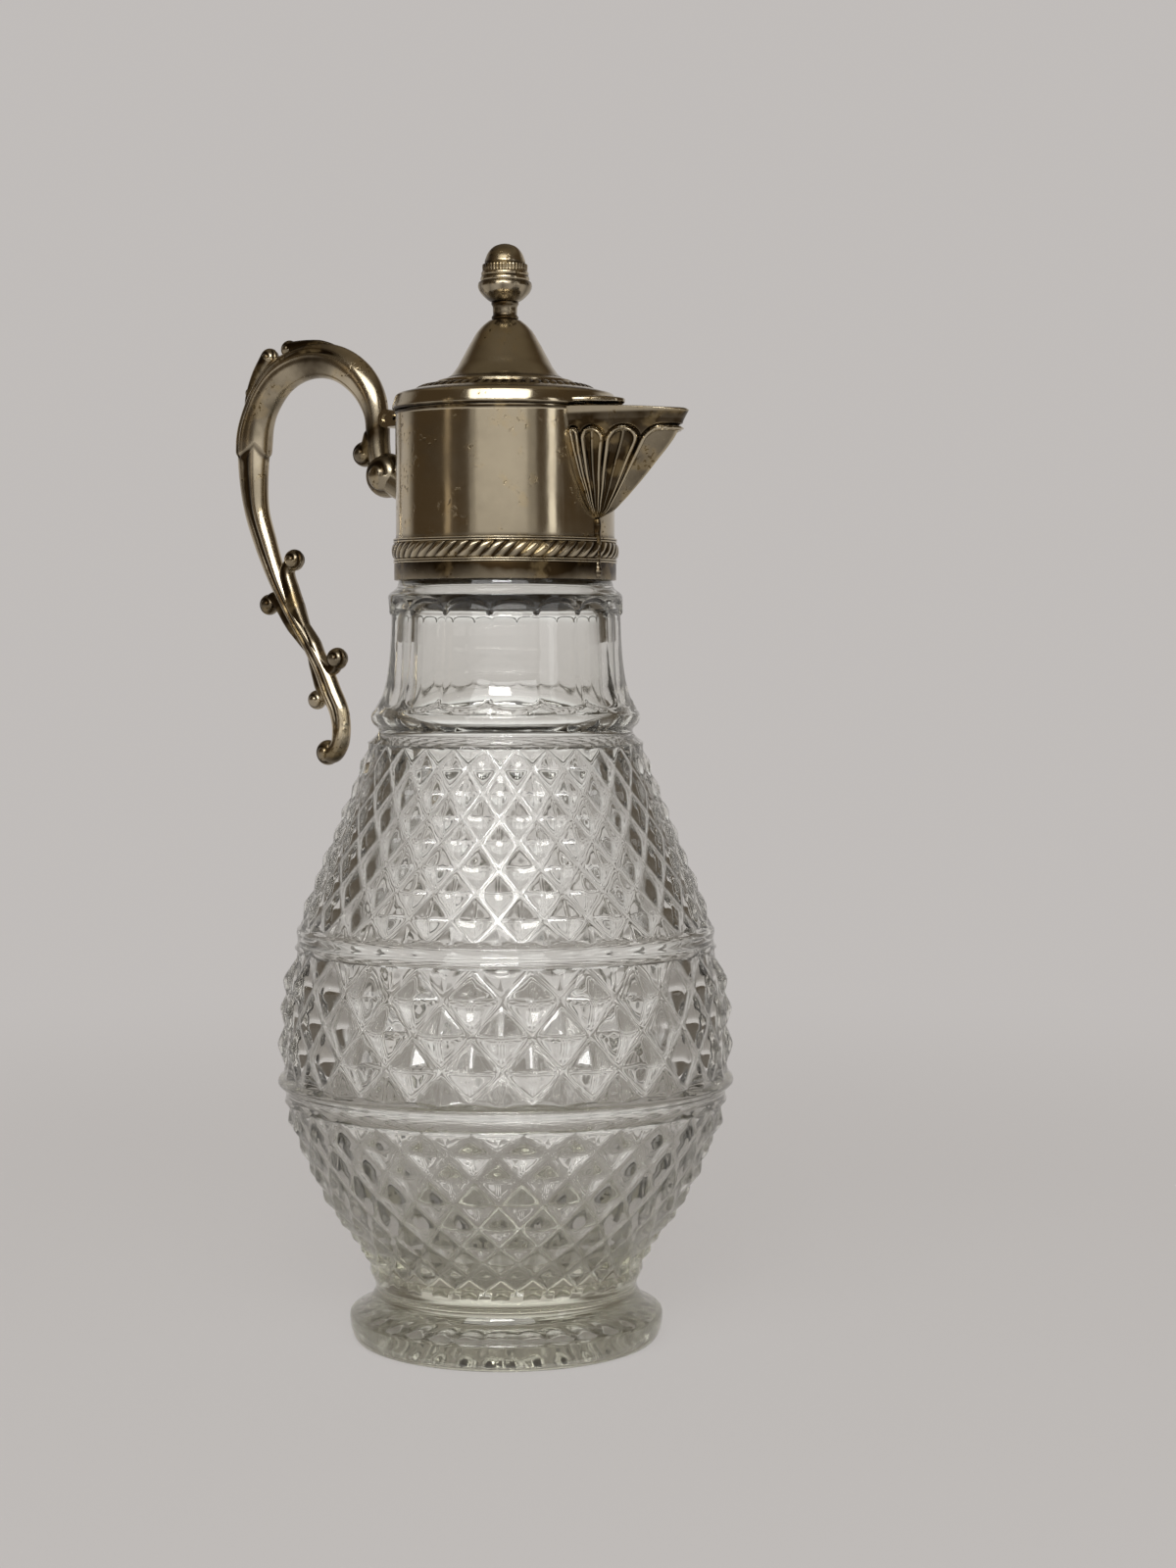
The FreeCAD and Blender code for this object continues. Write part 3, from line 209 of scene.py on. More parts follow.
@dataclass
class Patch:
    """A surface as a grid of points in millimetres.

    Attributes:
        points: Places, rows by columns by 3.
        grime_and_shade: Share of patina at each place, and of painted shade on the pieces that ask for it.
        ring: True where the last column joins the first.
        loop: True where the last row joins the first.
        flat: True for each row of faces that keeps its facets.
        split: Way that each face is cut: 0 not at all, 1 from its first corner, 2 from its second.
    """

    points: Array
    grime_and_shade: Array | float = 0.0
    ring: bool = True
    loop: bool = False
    flat: Array | None = None
    split: Array | None = None

    def quads(self) -> Array:
        """Work out the faces, turned so that they look away from the patch's middle.

        Returns:
            The four corners of each face, as numbers of points.
        """
        rows, columns = self.points.shape[:2]
        low, left = np.meshgrid(
            np.arange(rows if self.loop else rows - 1),
            np.arange(columns if self.ring else columns - 1),
            indexing="ij",
        )
        high, right = (low + 1) % rows, (left + 1) % columns
        corners = ((low, left), (low, right), (high, right), (high, left))
        quads = np.stack([row * columns + place for row, place in corners], axis=-1).reshape(-1, 4)
        places = self.points.reshape(-1, 3)
        first, second, third, fourth = (places[quads[:, i]] for i in range(4))
        facing = np.cross(third - first, fourth - second)
        outward = np.sum(facing * ((first + third) / 2.0 - places.mean(axis=0)))
        return quads if outward > 0.0 else quads[:, [1, 0, 3, 2]]

    def faces(self) -> tuple[Array, Array]:
        """Cut the faces the way that split says.

        Returns:
            The faces as four corners, of which a triangle repeats its last, and which of them are flat.
        """
        quads = self.quads()
        per_row = self.points.shape[1] - (0 if self.ring else 1)
        rows = len(quads) // per_row
        flat = np.repeat(np.zeros(rows, bool) if self.flat is None else self.flat[:rows], per_row)
        if self.split is None:
            return quads, flat
        way = self.split[:rows].reshape(-1)
        cuts = ((0, [0, 1, 2, 3]), (1, [0, 1, 2, 2]), (1, [0, 2, 3, 3]), (2, [0, 1, 3, 3]), (2, [1, 2, 3, 3]))
        parts = [quads[way == kind][:, corners] for kind, corners in cuts]
        return np.concatenate(parts), np.concatenate([flat[way == kind] for kind, _ in cuts])


def shell(name: str, patches: Sequence[Patch], sharp: float = 40.0) -> bpy.types.Object:
    """Make one mesh object from patches. Points at one place are merged, which closes seams and poles.

    Args:
        name: The piece's name.
        patches: Its surfaces.
        sharp: Angle in degrees past which an edge stays sharp.

    Returns:
        The object, at the origin.
    """
    points = np.concatenate([patch.points.reshape(-1, 3) for patch in patches])
    darkening_rows = [np.broadcast_to(patch.grime_and_shade, patch.points.shape[:2]).reshape(-1) for patch in patches]
    starts = np.cumsum([0] + [len(patch_darkening) for patch_darkening in darkening_rows])
    made = [patch.faces() for patch in patches]
    faces = np.concatenate([quads + start for (quads, _), start in zip(made, starts)])
    flat = np.concatenate([marks for _, marks in made])
    cells = np.round(points / MERGE).astype(np.int64)
    _, first, same = np.unique(cells, axis=0, return_index=True, return_inverse=True)
    faces = same.reshape(-1)[faces]
    fresh = faces != np.roll(faces, 1, axis=1)
    sides = fresh.sum(axis=1)
    kept = sides > 2
    corners = faces[kept][fresh[kept]]
    sides = sides[kept]

    mesh = bpy.data.meshes.new(name)
    mesh.vertices.add(len(first))
    mesh.vertices.foreach_set("co", (points[first] * MM).astype(np.float32).ravel())
    mesh.loops.add(len(corners))
    mesh.loops.foreach_set("vertex_index", corners.astype(np.int32))
    mesh.polygons.add(len(sides))
    mesh.polygons.foreach_set("loop_start", (np.cumsum(sides) - sides).astype(np.int32))
    mesh.polygons.foreach_set("use_smooth", ~flat[kept])
    grime_and_shade = np.concatenate(darkening_rows)[first].astype(np.float32)
    mesh.attributes.new("grime_and_shade", "FLOAT", "POINT").data.foreach_set("value", grime_and_shade)
    mesh.update(calc_edges=True)
    mesh.validate()
    mesh.set_sharp_from_angle(angle=math.radians(sharp))
    piece = bpy.data.objects.new(name, mesh)
    bpy.context.scene.collection.objects.link(piece)
    return piece


def turned(profile: Array, columns: int, loop: bool = True, relief: Relief | None = None) -> Patch:
    """Turn an outline round the jug's axis, with an optional relief added to its radius.

    Args:
        profile: Radius and height of each point of the outline.
        columns: Points round the axis.
        loop: True where the outline closes on itself.
        relief: Gives the change of radius and the darkening share, patina and in places painted shade, from
            the angles and the heights.

    Returns:
        The surface.
    """
    angle = circle(columns)
    radius, height = profile[:, :1], profile[:, 1:]
    change, grime_and_shade = relief(angle, height) if relief else (0.0, 0.0)
    return Patch(around(np.where(radius > 0.0, radius + change, 0.0), angle, height), grime_and_shade, loop=loop)


def swept(line: Array, half_depth: Array, half_width: Array, columns: int, relief: Relief) -> Patch:
    """Carry an oval along a line of the jug's middle plane: depth times cos a across it, width times sin a.

    Args:
        line: Points of the line in x and z.
        half_depth: Half thickness within the plane at each point.
        half_width: Half thickness square to the plane at each point.
        columns: Points round the oval.
        relief: Gives the change of size and the grime from the share of the length and the angle.

    Returns:
        The surface, closed to a point where the depth is 0.
    """
    along = np.gradient(line, axis=0)
    along = along / np.linalg.norm(along, axis=1)[:, None]
    angle = circle(columns)
    change, grime_and_shade = relief(np.linspace(0.0, 1.0, len(line))[:, None], angle)
    closing = (half_depth > 0.0).astype(float)[:, None]
    across = (half_depth[:, None] + change) * np.cos(angle) * closing
    side = (half_width[:, None] + change) * np.sin(angle) * closing
    x, z = line[:, :1] + across * along[:, 1:], line[:, 1:] - across * along[:, :1]
    return Patch(np.stack([x, side, z], axis=-1), grime_and_shade)


# Shaders


class Value:
    """A number that comes out of a node. Arithmetic on it adds Math nodes to its graph."""

    def __init__(self, graph: "Graph", socket: bpy.types.NodeSocket) -> None:
        """Keep the graph and the socket."""
        self.graph, self.socket = graph, socket

    def math(self, operation: str, *others: "Value | float", swap: bool = False) -> "Value":
        """Return this number and others put through one Math node.

        Args:
            operation: The Math node's operation.
            others: The other numbers.
            swap: True where this number comes last.

        Returns:
            The result.
        """
        terms = (*others, self) if swap else (self, *others)
        return self.graph.value("Math", dict(enumerate(terms)), operation=operation)

    def __add__(self, other: "Value | float") -> "Value":
        """Add."""
        return self.math("ADD", other)

    __radd__ = __add__

    def __mul__(self, other: "Value | float") -> "Value":
        """Multiply."""
        return self.math("MULTIPLY", other)

    __rmul__ = __mul__

    def __sub__(self, other: "Value | float") -> "Value":
        """Take a number off this one."""
        return self.math("SUBTRACT", other)

    def __rsub__(self, other: "Value | float") -> "Value":
        """Take this number off another."""
        return self.math("SUBTRACT", other, swap=True)

    def between(self, low: float, high: float) -> "Value":
        """Return 0 below low, 1 above high and a smooth rise between."""
        ends = {"Value": self, "From Min": low, "From Max": high}
        return self.graph.value("MapRange", ends, interpolation_type="SMOOTHSTEP")


class Graph:
    """The nodes of one material or world."""

    def __init__(self, tree: bpy.types.NodeTree) -> None:
        """Start with no nodes."""
        self.tree = tree
        self.tree.nodes.clear()

    def node(self, kind: str, sockets: dict | None = None, **settings: object) -> bpy.types.Node:
        """Add a node.

        Args:
            kind: The node's type, without the ShaderNode that all of them start with.
            sockets: Values or links of its inputs, by name or number.
            settings: Its properties, which are set first.

        Returns:
            The node.
        """
        node = self.tree.nodes.new("ShaderNode" + kind)
        for name, setting in settings.items():
            setattr(node, name, setting)
        for name, value in (sockets or {}).items():
            socket = node.inputs[name]
            if isinstance(value, Value):
                value = value.socket
            if isinstance(value, bpy.types.NodeSocket):
                self.tree.links.new(value, socket)
            elif isinstance(value, tuple) and socket.type == "RGBA":
                socket.default_value = (*value, 1.0)
            else:
                socket.default_value = value
        return node

    def value(self, kind: str, sockets: dict | None = None, out: int | str = 0, **settings: object) -> Value:
        """Add a node and return one of its outputs as a number."""
        return Value(self, self.node(kind, sockets, **settings).outputs[out])

    def noise(self, scale: float, detail: float, stretch: Triple = (1.0, 1.0, 1.0)) -> Value:
        """Add soft noise on the Object coordinates.

        Args:
            scale: Its scale, in waves to a metre.
            detail: How many finer waves are added.
            stretch: Factors on the coordinates. A small one draws the noise out along its axis.

        Returns:
            The noise, from 0 to 1.
        """
        spot = self.node("TexCoord").outputs["Object"]
        place = self.node("Mapping", {"Vector": spot, "Scale": stretch}).outputs[0]
        return self.value("TexNoise", {"Vector": place, "Scale": scale, "Detail": detail})

    def mix(self, share: Value | float, first: object, second: object) -> bpy.types.NodeSocket:
        """Return a colour between two colours, which the Mix node takes on its inputs 6 and 7."""
        return self.node("Mix", {0: share, 6: first, 7: second}, data_type="RGBA").outputs[2]

    def bump(self, height: Value, strength: float, distance: float) -> bpy.types.NodeSocket:
        """Return the normal of a surface with this height, distance in metres."""
        return self.node("Bump", {"Height": height, "Strength": strength, "Distance": distance}).outputs[0]

    def finish(self, kind: str, sockets: dict) -> None:
        """Add a shader and link it to the output."""
        shader = self.node(kind, sockets)
        self.node("OutputWorld" if kind == "Background" else "OutputMaterial", {"Surface": shader.outputs[0]})


@dataclass(frozen=True)
class Finish:
    """What every finish has: a name, a slot, and one material that is made once."""

    name: str
    slot: Slot

    def draw(self, graph: Graph) -> None:
        """Add the finish's nodes."""
        raise NotImplementedError

    def material(self) -> bpy.types.Material:
        """Make the finish's material, or find it where it is made already.

        Returns:
            The material.
        """
        made = bpy.data.materials.get(self.name)
        if made is None:
            made = bpy.data.materials.new(self.name)
            made.use_nodes = True
            self.draw(Graph(made.node_tree))
        return made


@dataclass(frozen=True)
class WornSilver(Finish):
    """Silver plate over brass: warm tarnish in blotches and hollows, pits, fine scratches and rubbed brass.
    The dark colour also paints shade where a piece asks for it.

    Attributes:
        silver: Colour of the clean plate.
        tarnish_and_shade: Colour of the patina in the hollows, and of painted shade.
        rubbed: Colour where brass shows.
        dullness: Roughness of the clean plate.
        age: Share of tarnish all over.
        dents: Height of the waviness in metres.
        upright: Stretch of the noise that makes scratches, mostly along z.
    """

    silver: Colour = (0.58, 0.505, 0.37)
    tarnish_and_shade: Colour = (0.040, 0.025, 0.011)
    rubbed: Colour = (0.62, 0.47, 0.24)
    dullness: float = 0.10
    age: float = 0.32
    dents: float = 0.00014
    upright: Triple = (1.0, 1.0, 0.08)

    def draw(self, graph: Graph) -> None:
        """Add the finish's nodes: the dark share, the sum of the darkening attribute (patina, and painted
        shade on some pieces), clouds and specks, darkens and dulls the plate.

        Args:
            graph: The material's nodes.
        """
        # The darkening attribute carries patina in hollows, and painted shade under the lid, on the collar's
        # top edge and on the spout's lip.
        hollow = graph.value("Attribute", out="Fac", attribute_name="grime_and_shade")
        cloud = graph.noise(scale=55.0, detail=4.0)
        speck = graph.noise(scale=900.0, detail=2.0).between(0.58, 0.66)
        patchy = graph.noise(scale=140.0, detail=3.0).between(0.52, 0.64)
        scratch = graph.noise(scale=260.0, detail=2.0, stretch=self.upright).between(0.58, 0.72)
        dark = hollow * (0.6 + 0.8 * cloud) + self.age * cloud.between(0.35, 0.75) + 0.8 * speck * patchy
        dark = dark.math("MINIMUM", 1.0)
        colour = graph.mix(dark, self.silver, self.tarnish_and_shade)
        height = graph.noise(scale=120.0, detail=2.0) + 0.12 * scratch - 0.5 * speck * patchy
        sockets = {
            "Base Color": graph.mix(0.25 * patchy, colour, self.rubbed),
            "Metallic": 1.0,
            "Roughness": self.dullness + 0.05 * cloud + 0.20 * dark + 0.04 * scratch,
            "Normal": graph.bump(height, 0.35, self.dents),
        }
        graph.finish("BsdfPrincipled", sockets)


@dataclass(frozen=True)
class ClearGlass(Finish):
    """Pressed glass: clear, with a breath of grey green, and the slow waviness that the mould leaves.

    Attributes:
        tint: Colour of the light that passes a surface.
        depth_tint: Colour that thick glass tends to.
        density: How fast thick glass tends to that colour, per metre.
        bending: Index of refraction.
        thinness: Share of the light that passes unbent at the glass's edges.
        waves: Height of the waviness in metres.
    """

    tint: Colour = (0.996, 0.996, 0.985)
    depth_tint: Colour = (0.58, 0.565, 0.24)
    density: float = 6.5
    bending: float = 1.52
    thinness: float = 0.25
    waves: float = 0.0003

    def draw(self, graph: Graph) -> None:
        """Add the finish's nodes: a clear skin, and a body that takes up light with its depth.

        Args:
            graph: The material's nodes.
        """
        wave = graph.noise(scale=90.0, detail=2.0)
        smear = graph.noise(scale=300.0, detail=2.0).between(0.55, 0.8)
        edge = graph.value("LayerWeight", {"Blend": 0.5}, "Facing")
        sockets = {
            "Base Color": self.tint,
            "Roughness": 0.004 + 0.02 * smear,
            "IOR": self.bending,
            "Transmission Weight": 1.0,
            "Alpha": 1.0 - self.thinness * edge.between(0.25, 0.95),
            "Normal": graph.bump(wave, 0.25, self.waves),
        }
        skin = graph.node("BsdfPrincipled", sockets)
        body = graph.node("VolumeAbsorption", {"Color": self.depth_tint, "Density": self.density})
        graph.node("OutputMaterial", {"Surface": skin.outputs[0], "Volume": body.outputs[0]})


@dataclass(frozen=True)
class Mottled(Finish):
    """A rough surface of two colours in soft patches, with a grain.

    Attributes:
        colours: The two colours.
        patches: Scale and detail of the patches.
        turn: Values of the patches where the second colour starts and is full.
        metallic: Share of metal.
        rough: Roughness, and what the patches add to it.
        grain: Scale and detail of the grain.
        stretch: Stretch of the grain.
        bump: Strength of the grain, and its height in metres.
    """

    colours: tuple[Colour, Colour]
    patches: tuple[float, float]
    turn: tuple[float, float]
    metallic: float
    rough: tuple[float, float]
    grain: tuple[float, float]
    stretch: Triple
    bump: tuple[float, float]

    def draw(self, graph: Graph) -> None:
        """Add the finish's nodes: patches choose the colour and the roughness, and the grain the bump.

        Args:
            graph: The material's nodes.
        """
        cloud = graph.noise(*self.patches)
        sockets = {
            "Base Color": graph.mix(cloud.between(*self.turn), *self.colours),
            "Metallic": self.metallic,
            "Roughness": self.rough[0] + self.rough[1] * cloud,
            "Normal": graph.bump(graph.noise(*self.grain, self.stretch), *self.bump),
        }
        graph.finish("BsdfPrincipled", sockets)


GLASS = ClearGlass("clear_pressed_glass", Slot.GLASS)
SHEET_SILVER = WornSilver("silver_sheet", Slot.SILVER)
CAST_SILVER = WornSilver("silver_casting", Slot.SILVER, (0.70, 0.61, 0.45), age=0.62, dents=0.0002)
BRASS = Mottled(
    "turned_brass", Slot.BRASS, colours=((0.62, 0.45, 0.18), (0.30, 0.19, 0.07)), patches=(400.0, 3.0),
    turn=(0.4, 0.7), metallic=1.0, rough=(0.25, 0.25), grain=(900.0, 1.0), stretch=(0.2, 0.2, 3.0),
    bump=(0.3, 0.0001),
)
PLASTER = Mottled(
    "bedding_plaster", Slot.PLASTER, colours=((0.17, 0.135, 0.09), (0.085, 0.062, 0.038)),
    patches=(180.0, 4.0), turn=(0.35, 0.7), metallic=0.0, rough=(0.85, 0.1), grain=(1500.0, 3.0),
    stretch=(1.0, 1.0, 1.0), bump=(0.5, 0.0002),
)


@dataclass(frozen=True)
class Piece:
    """A new piece of the looks.

    Attributes:
        name: Its name.
        node: CAD node that it replaces.
        finish: Its finish.
        body: What it rides on.
        sharp: Angle in degrees past which an edge stays sharp.
        wall: Wall that a sheet gets, inwards, in millimetres.
    """

    name: str
    node: str
    finish: Finish = SHEET_SILVER
    body: Body = Body.JUG
    sharp: float = 40.0
    wall: float = 0.0

    def make(self, *patches: Patch) -> None:
        """Make the mesh, give it its wall, finish and body, and hide the CAD node that it stands for.

        Args:
            patches: The piece's surfaces.
        """
        piece = shell(self.name, patches, self.sharp)
        if self.wall > 0.0:
            solid = piece.modifiers.new("wall", "SOLIDIFY")
            solid.thickness, solid.offset, solid.use_even_offset = self.wall * MM, -1.0, True
        piece.data.materials.append(self.finish.material())
        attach(piece, self.body.value)
        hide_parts(self.node)
        faces = len(piece.data.polygons)
        LOG.info("%s rides on %s, %d faces, %s", self.name, self.body.value, faces, self.finish.name)


def dress_nodes(finish: Finish, *names: str) -> None:
    """Give CAD nodes that stay their finish.

    Args:
        finish: The finish.
        names: The nodes' names.
    """
    for name in names:
        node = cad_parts[name]
        node.data.materials.clear()
        node.data.materials.append(finish.material())
        LOG.info("%s is kept, %s", name, finish.name)


# The glass


@dataclass(frozen=True)
class DiamondBand:
    """A pressed band of pyramids on a lattice of half steps.

    Attributes:
        levels: Heights of the half rows, from the lower tips to the upper ones.
        count: Diamonds round the bottle.
        first: Column of a lower tip.
        relief: Depth of the grooves between the pyramids.
        softness: Share of rounding on ridges and grooves.
        close: Share of a half step from a ridge to the next grid line, so that the rounding is narrow.
        border: Share of the depth of the grooves and of the peaks in the first and the last row.
    """

    levels: tuple[float, ...]
    count: int
    first: int
    relief: float
    softness: float = 0.9
    close: float = 0.13
    border: tuple[float, float] = (0.8, 0.45)

    def surface(self, columns: int, offset: float, radii: Array) -> tuple[Array, Array]:
        """Return the band's grid. Lattice places alternate between a groove and a peak, and each facet is the
        flat triangle between a peak and two neighbouring grooves: first corner plus shares of its sides.

        Args:
            columns: Points round the bottle.
            offset: Turn of the first column, in columns.
            radii: Radius of the peaks at each level.

        Returns:
            The points, rows by columns by 3, and the way that each face is split.
        """
        half = columns // (2 * self.count)
        row = np.arange(len(self.levels))[:, None]
        step = np.arange(2 * self.count)[None, :]
        groove = (row + step) % 2 == 0
        end = (row == 0) | (row == len(self.levels) - 1)
        depth = np.where(groove, np.where(end, self.border[0], 1.0), np.where(end, self.border[1], 0.0))
        angle = (step * half + self.first + offset) * TURN / columns
        nodes = around(radii[:, None] - depth * self.relief, angle, np.array(self.levels)[:, None])
        following = np.roll(nodes, -1, axis=1)
        corners = (nodes[:-1], following[:-1], nodes[1:], following[1:])
        a, b, c, d = (corner[:, :, None, None, :] for corner in corners)
        places = np.concatenate([[0.0], np.linspace(self.close, 1.0 - self.close, half - 1)])
        up, across = np.meshgrid(places, places, indexing="ij")
        t, s = up[None, None, :, :, None], across[None, None, :, :, None]
        rising = np.where(s >= t, a + s * (b - a) + t * (d - b), a + t * (c - a) + s * (d - c))
        lower, upper = a + s * (b - a) + t * (c - a), d + (1 - s) * (c - d) + (1 - t) * (b - d)
        even = groove[:-1][:, :, None, None]
        inner = np.where(even[..., None], rising, np.where(s + t <= 1, lower, upper))
        inner = inner.transpose(0, 2, 1, 3, 4).reshape(-1, columns, 3)
        last = nodes[-1][:, None] + places[None, :, None] * (following[-1] - nodes[-1])[:, None]
        ways = np.broadcast_to(np.where(even, 1, 2), (*even.shape[:2], half, half))
        ways = ways.transpose(0, 2, 1, 3).reshape(-1, columns)
        grid = self.soften(np.concatenate([inner, last.reshape(1, columns, 3)]))
        return np.roll(grid, self.first, axis=1), np.roll(ways, self.first, axis=1)

    def soften(self, grid: Array) -> Array:
        """Round the edges: each inner point moves towards the mean of its neighbours.

        Args:
            grid: Points of the band, rows by columns by 3.

        Returns:
            The rounded grid.
        """
        smooth = (np.roll(grid, 1, axis=1) + 2.0 * grid + np.roll(grid, -1, axis=1)) / 4.0
        smooth[1:-1] = (smooth[:-2] + 2.0 * smooth[1:-1] + smooth[2:]) / 4.0
        result = grid.copy()
        result[1:-1] += self.softness * (smooth - grid)[1:-1]
        return result


@dataclass(frozen=True)
class GlassBottle:
    """The pressed bottle: fluted foot, diamond bands between plain rings, panelled neck, smooth inside.

    Tables give radius and height of round rows. Only envelope, the peaks of the diamonds, and neck_edge, the
    edges between panels, give height and radius. offset and panel_edge count columns. arch and bow are the
    height of a panel's ends at its edges and how far they reach past that in its middle. flute_from and
    flute_to are the radii over which the flutes rise and end.
    """

    columns: int = 336
    offset: float = 0.6
    envelope: Table = (
        (14.6, 34.7), (16.4, 35.9), (21.7, 38.0), (27.0, 40.8), (33.1, 45.6), (39.5, 49.6), (48.2, 53.7),
        (53.4, 55.8), (58.7, 58.2), (64.8, 59.4), (69.2, 60.2), (74.5, 60.9), (79.8, 60.9), (90.3, 60.3),
        (95.5, 59.6), (100.7, 58.6), (104.7, 56.7), (107.3, 55.7), (111.7, 55.4), (118.5, 52.7),
        (123.5, 50.6), (129.5, 48.3), (134.7, 46.0), (142.0, 43.3), (147.7, 40.8), (152.9, 39.0),
        (157.6, 37.5),
    )
    lower: DiamondBand = DiamondBand((20.1, 23.7, 27.9, 32.8, 38.3, 45.0, 51.9, 58.6, 63.8), 28, -48, 2.4)
    middle: DiamondBand = DiamondBand((71.6, 79.7, 88.2, 96.8, 104.3), 24, -46, 3.2)
    upper: DiamondBand = DiamondBand(
        (110.8, 116.6, 122.9, 129.0, 135.4, 141.2, 147.2, 153.5, 158.3), 28, -48, 2.1
    )
    underside: Table = (
        (0.0, 4.0), (6.0, 4.0), (12.0, 4.0), (17.0, 3.9), (21.0, 3.6), (24.5, 3.1), (28.0, 2.3),
        (31.0, 1.2), (33.4, 0.25), (34.2, 0.0), (36.0, 0.0), (38.0, 0.0), (39.3, 0.2),
    )
    foot: Table = (
        (40.2, 0.7), (40.9, 1.8), (41.4, 3.4), (41.7, 5.2), (41.75, 6.7), (41.6, 7.4), (41.2, 7.8),
        (40.4, 8.0), (39.2, 8.5), (37.8, 9.4), (36.5, 10.7), (35.5, 12.2), (34.9, 13.6), (34.8, 14.8),
        (35.1, 15.9), (35.7, 17.2), (36.4, 18.8),
    )
    lower_ring: Table = (
        (58.7, 64.5), (58.4, 65.2), (58.4, 66.4), (58.7, 67.6), (59.1, 68.3), (59.9, 68.7), (60.4, 69.2),
        (60.5, 69.7), (60.3, 70.3), (59.6, 70.8), (59.0, 71.1),
    )
    upper_ring: Table = (
        (55.9, 104.9), (55.3, 105.6), (55.1, 106.6), (55.2, 107.8), (55.4, 109.0), (55.2, 109.9),
        (54.6, 110.4),
    )
    shoulder: Table = (
        (36.6, 158.9), (35.6, 159.6), (34.4, 160.6), (33.7, 161.5), (33.6, 162.2), (34.1, 162.9),
        (35.0, 163.7), (35.5, 164.8), (35.6, 165.9), (35.3, 166.9),
    )
    neck_edge: Table = (
        (166.0, 35.2), (168.0, 34.6), (169.8, 33.8), (173.7, 32.5), (178.9, 31.6), (184.1, 31.1),
        (193.9, 30.7), (198.0, 30.6),
    )
    lip: Table = (
        (30.9, 197.6), (30.3, 198.4), (29.3, 199.0), (28.6, 199.8), (28.3, 200.8), (28.2, 201.3),
        (25.5, 201.3), (25.5, 212.0), (25.5, 222.8), (25.0, 223.3), (22.4, 223.3), (21.9, 222.8),
    )
    inside: Table = (
        (21.9, 212.0), (21.9, 202.6), (22.6, 200.2), (24.6, 196.6), (26.0, 194.2), (26.6, 191.5),
        (26.6, 182.0), (26.6, 173.0), (27.2, 168.4), (28.8, 164.4), (31.0, 160.8), (33.2, 157.0),
        (36.6, 148.0), (41.2, 136.0), (45.7, 124.0), (49.8, 113.0), (51.9, 106.0), (53.6, 98.0),
        (54.7, 89.0), (55.1, 80.0), (54.8, 70.5), (53.9, 63.0), (51.8, 57.5), (48.6, 50.5), (44.2, 43.0),
        (38.6, 35.4), (32.4, 28.8), (28.2, 25.2), (24.6, 23.0), (20.0, 21.8), (12.0, 21.0), (5.0, 20.6),
        (0.0, 20.5),
    )
    panels: int = 16
    panel_edge: int = -38
    arch: tuple[float, float] = (192.6, 3.6)
    bow: tuple[float, float] = (170.4, 2.4)
    panel_flatness: float = 0.6
    panel_depth: float = 0.25
    neck_swell: float = 0.35
    flutes: int = 28
    flute_depth: float = 0.4
    flute_from: tuple[float, float] = (20.0, 27.0)
    flute_to: tuple[float, float] = (36.8, 38.6)

    def angle(self) -> Array:
        """Return the angle of each column."""
        return ((np.arange(self.columns) + self.offset) * TURN / self.columns)[None, :]

    def plain(self, table: Table) -> Array:
        """Return round rows of the grid: each radius and height turned round the axis."""
        rows = np.array(table)
        return around(rows[:, :1], self.angle(), rows[:, 1:])

    def fluted_underside(self) -> Array:
        """Work out the underside: a shallow dish with radial flutes further out, a raised cosine to a power.

        Returns:
            Its rows of points.
        """
        grid = self.plain(self.underside)
        radius = np.array(self.underside)[:, :1]
        flute = (0.5 + 0.5 * np.cos(self.flutes * self.angle())) ** 1.5
        reach = ease(*self.flute_from, radius) * (1.0 - ease(*self.flute_to, radius))
        grid[..., 2] += self.flute_depth * flute * reach
        return grid

    def panelled_neck(self) -> Array:
        """Work out the neck: flat panels, radius times cos(half panel) over cos(angle from its middle), cut
        into a round neck between an arch at the top and a bow at the foot.

        Returns:
            Its rows of points.
        """
        height = spaced((167.4, 172.0, 12), (173.0, 191.0, 10), (192.0, 197.2, 14))[:, None]
        width = TURN / self.panels
        from_edge = (self.angle() - (self.panel_edge + self.offset) * TURN / self.columns) % width
        share = from_edge / width * 2.0 - 1.0
        flat = 1.0 - self.panel_flatness * (1.0 - np.cos(width / 2.0) / np.cos(share * width / 2.0))
        edge = column(self.neck_edge, height)
        top = self.arch[0] + self.arch[1] * arc(share)
        foot = self.bow[0] - self.bow[1] * arc(share)
        inside = ease(-0.45, 0.45, top - height) * ease(-0.5, 0.5, height - foot)
        proud = edge + self.neck_swell * ease(188.0, 194.0, height)
        radius = proud + (edge * flat - self.panel_depth - proud) * inside
        return around(radius, self.angle(), height)

    def build(self) -> None:
        """Put the rows together, from under the foot up the outside and down the inside. The face above each
        row takes the row's split and shading."""
        sections = (
            self.fluted_underside(), self.plain(self.foot), self.lower, self.plain(self.lower_ring),
            self.middle, self.plain(self.upper_ring), self.upper, self.plain(self.shoulder),
            self.panelled_neck(), self.plain(self.lip), self.plain(self.inside),
        )
        grids, splits, flat = [], [], []
        for section in sections:
            faceted = isinstance(section, DiamondBand)
            grid, ways = section, np.zeros((0, self.columns), int)
            if faceted:
                radii = column(self.envelope, np.array(section.levels))
                grid, ways = section.surface(self.columns, self.offset, radii)
            grids.append(grid)
            splits.append(np.concatenate([ways, np.zeros((len(grid) - len(ways), self.columns), int)]))
            flat.append(np.full(len(grid), faceted))
        patch = Patch(np.concatenate(grids), flat=np.concatenate(flat), split=np.concatenate(splits))
        Piece("glass_bottle_pressed", "glass_bottle", GLASS, sharp=50.0).make(patch)


# The mount


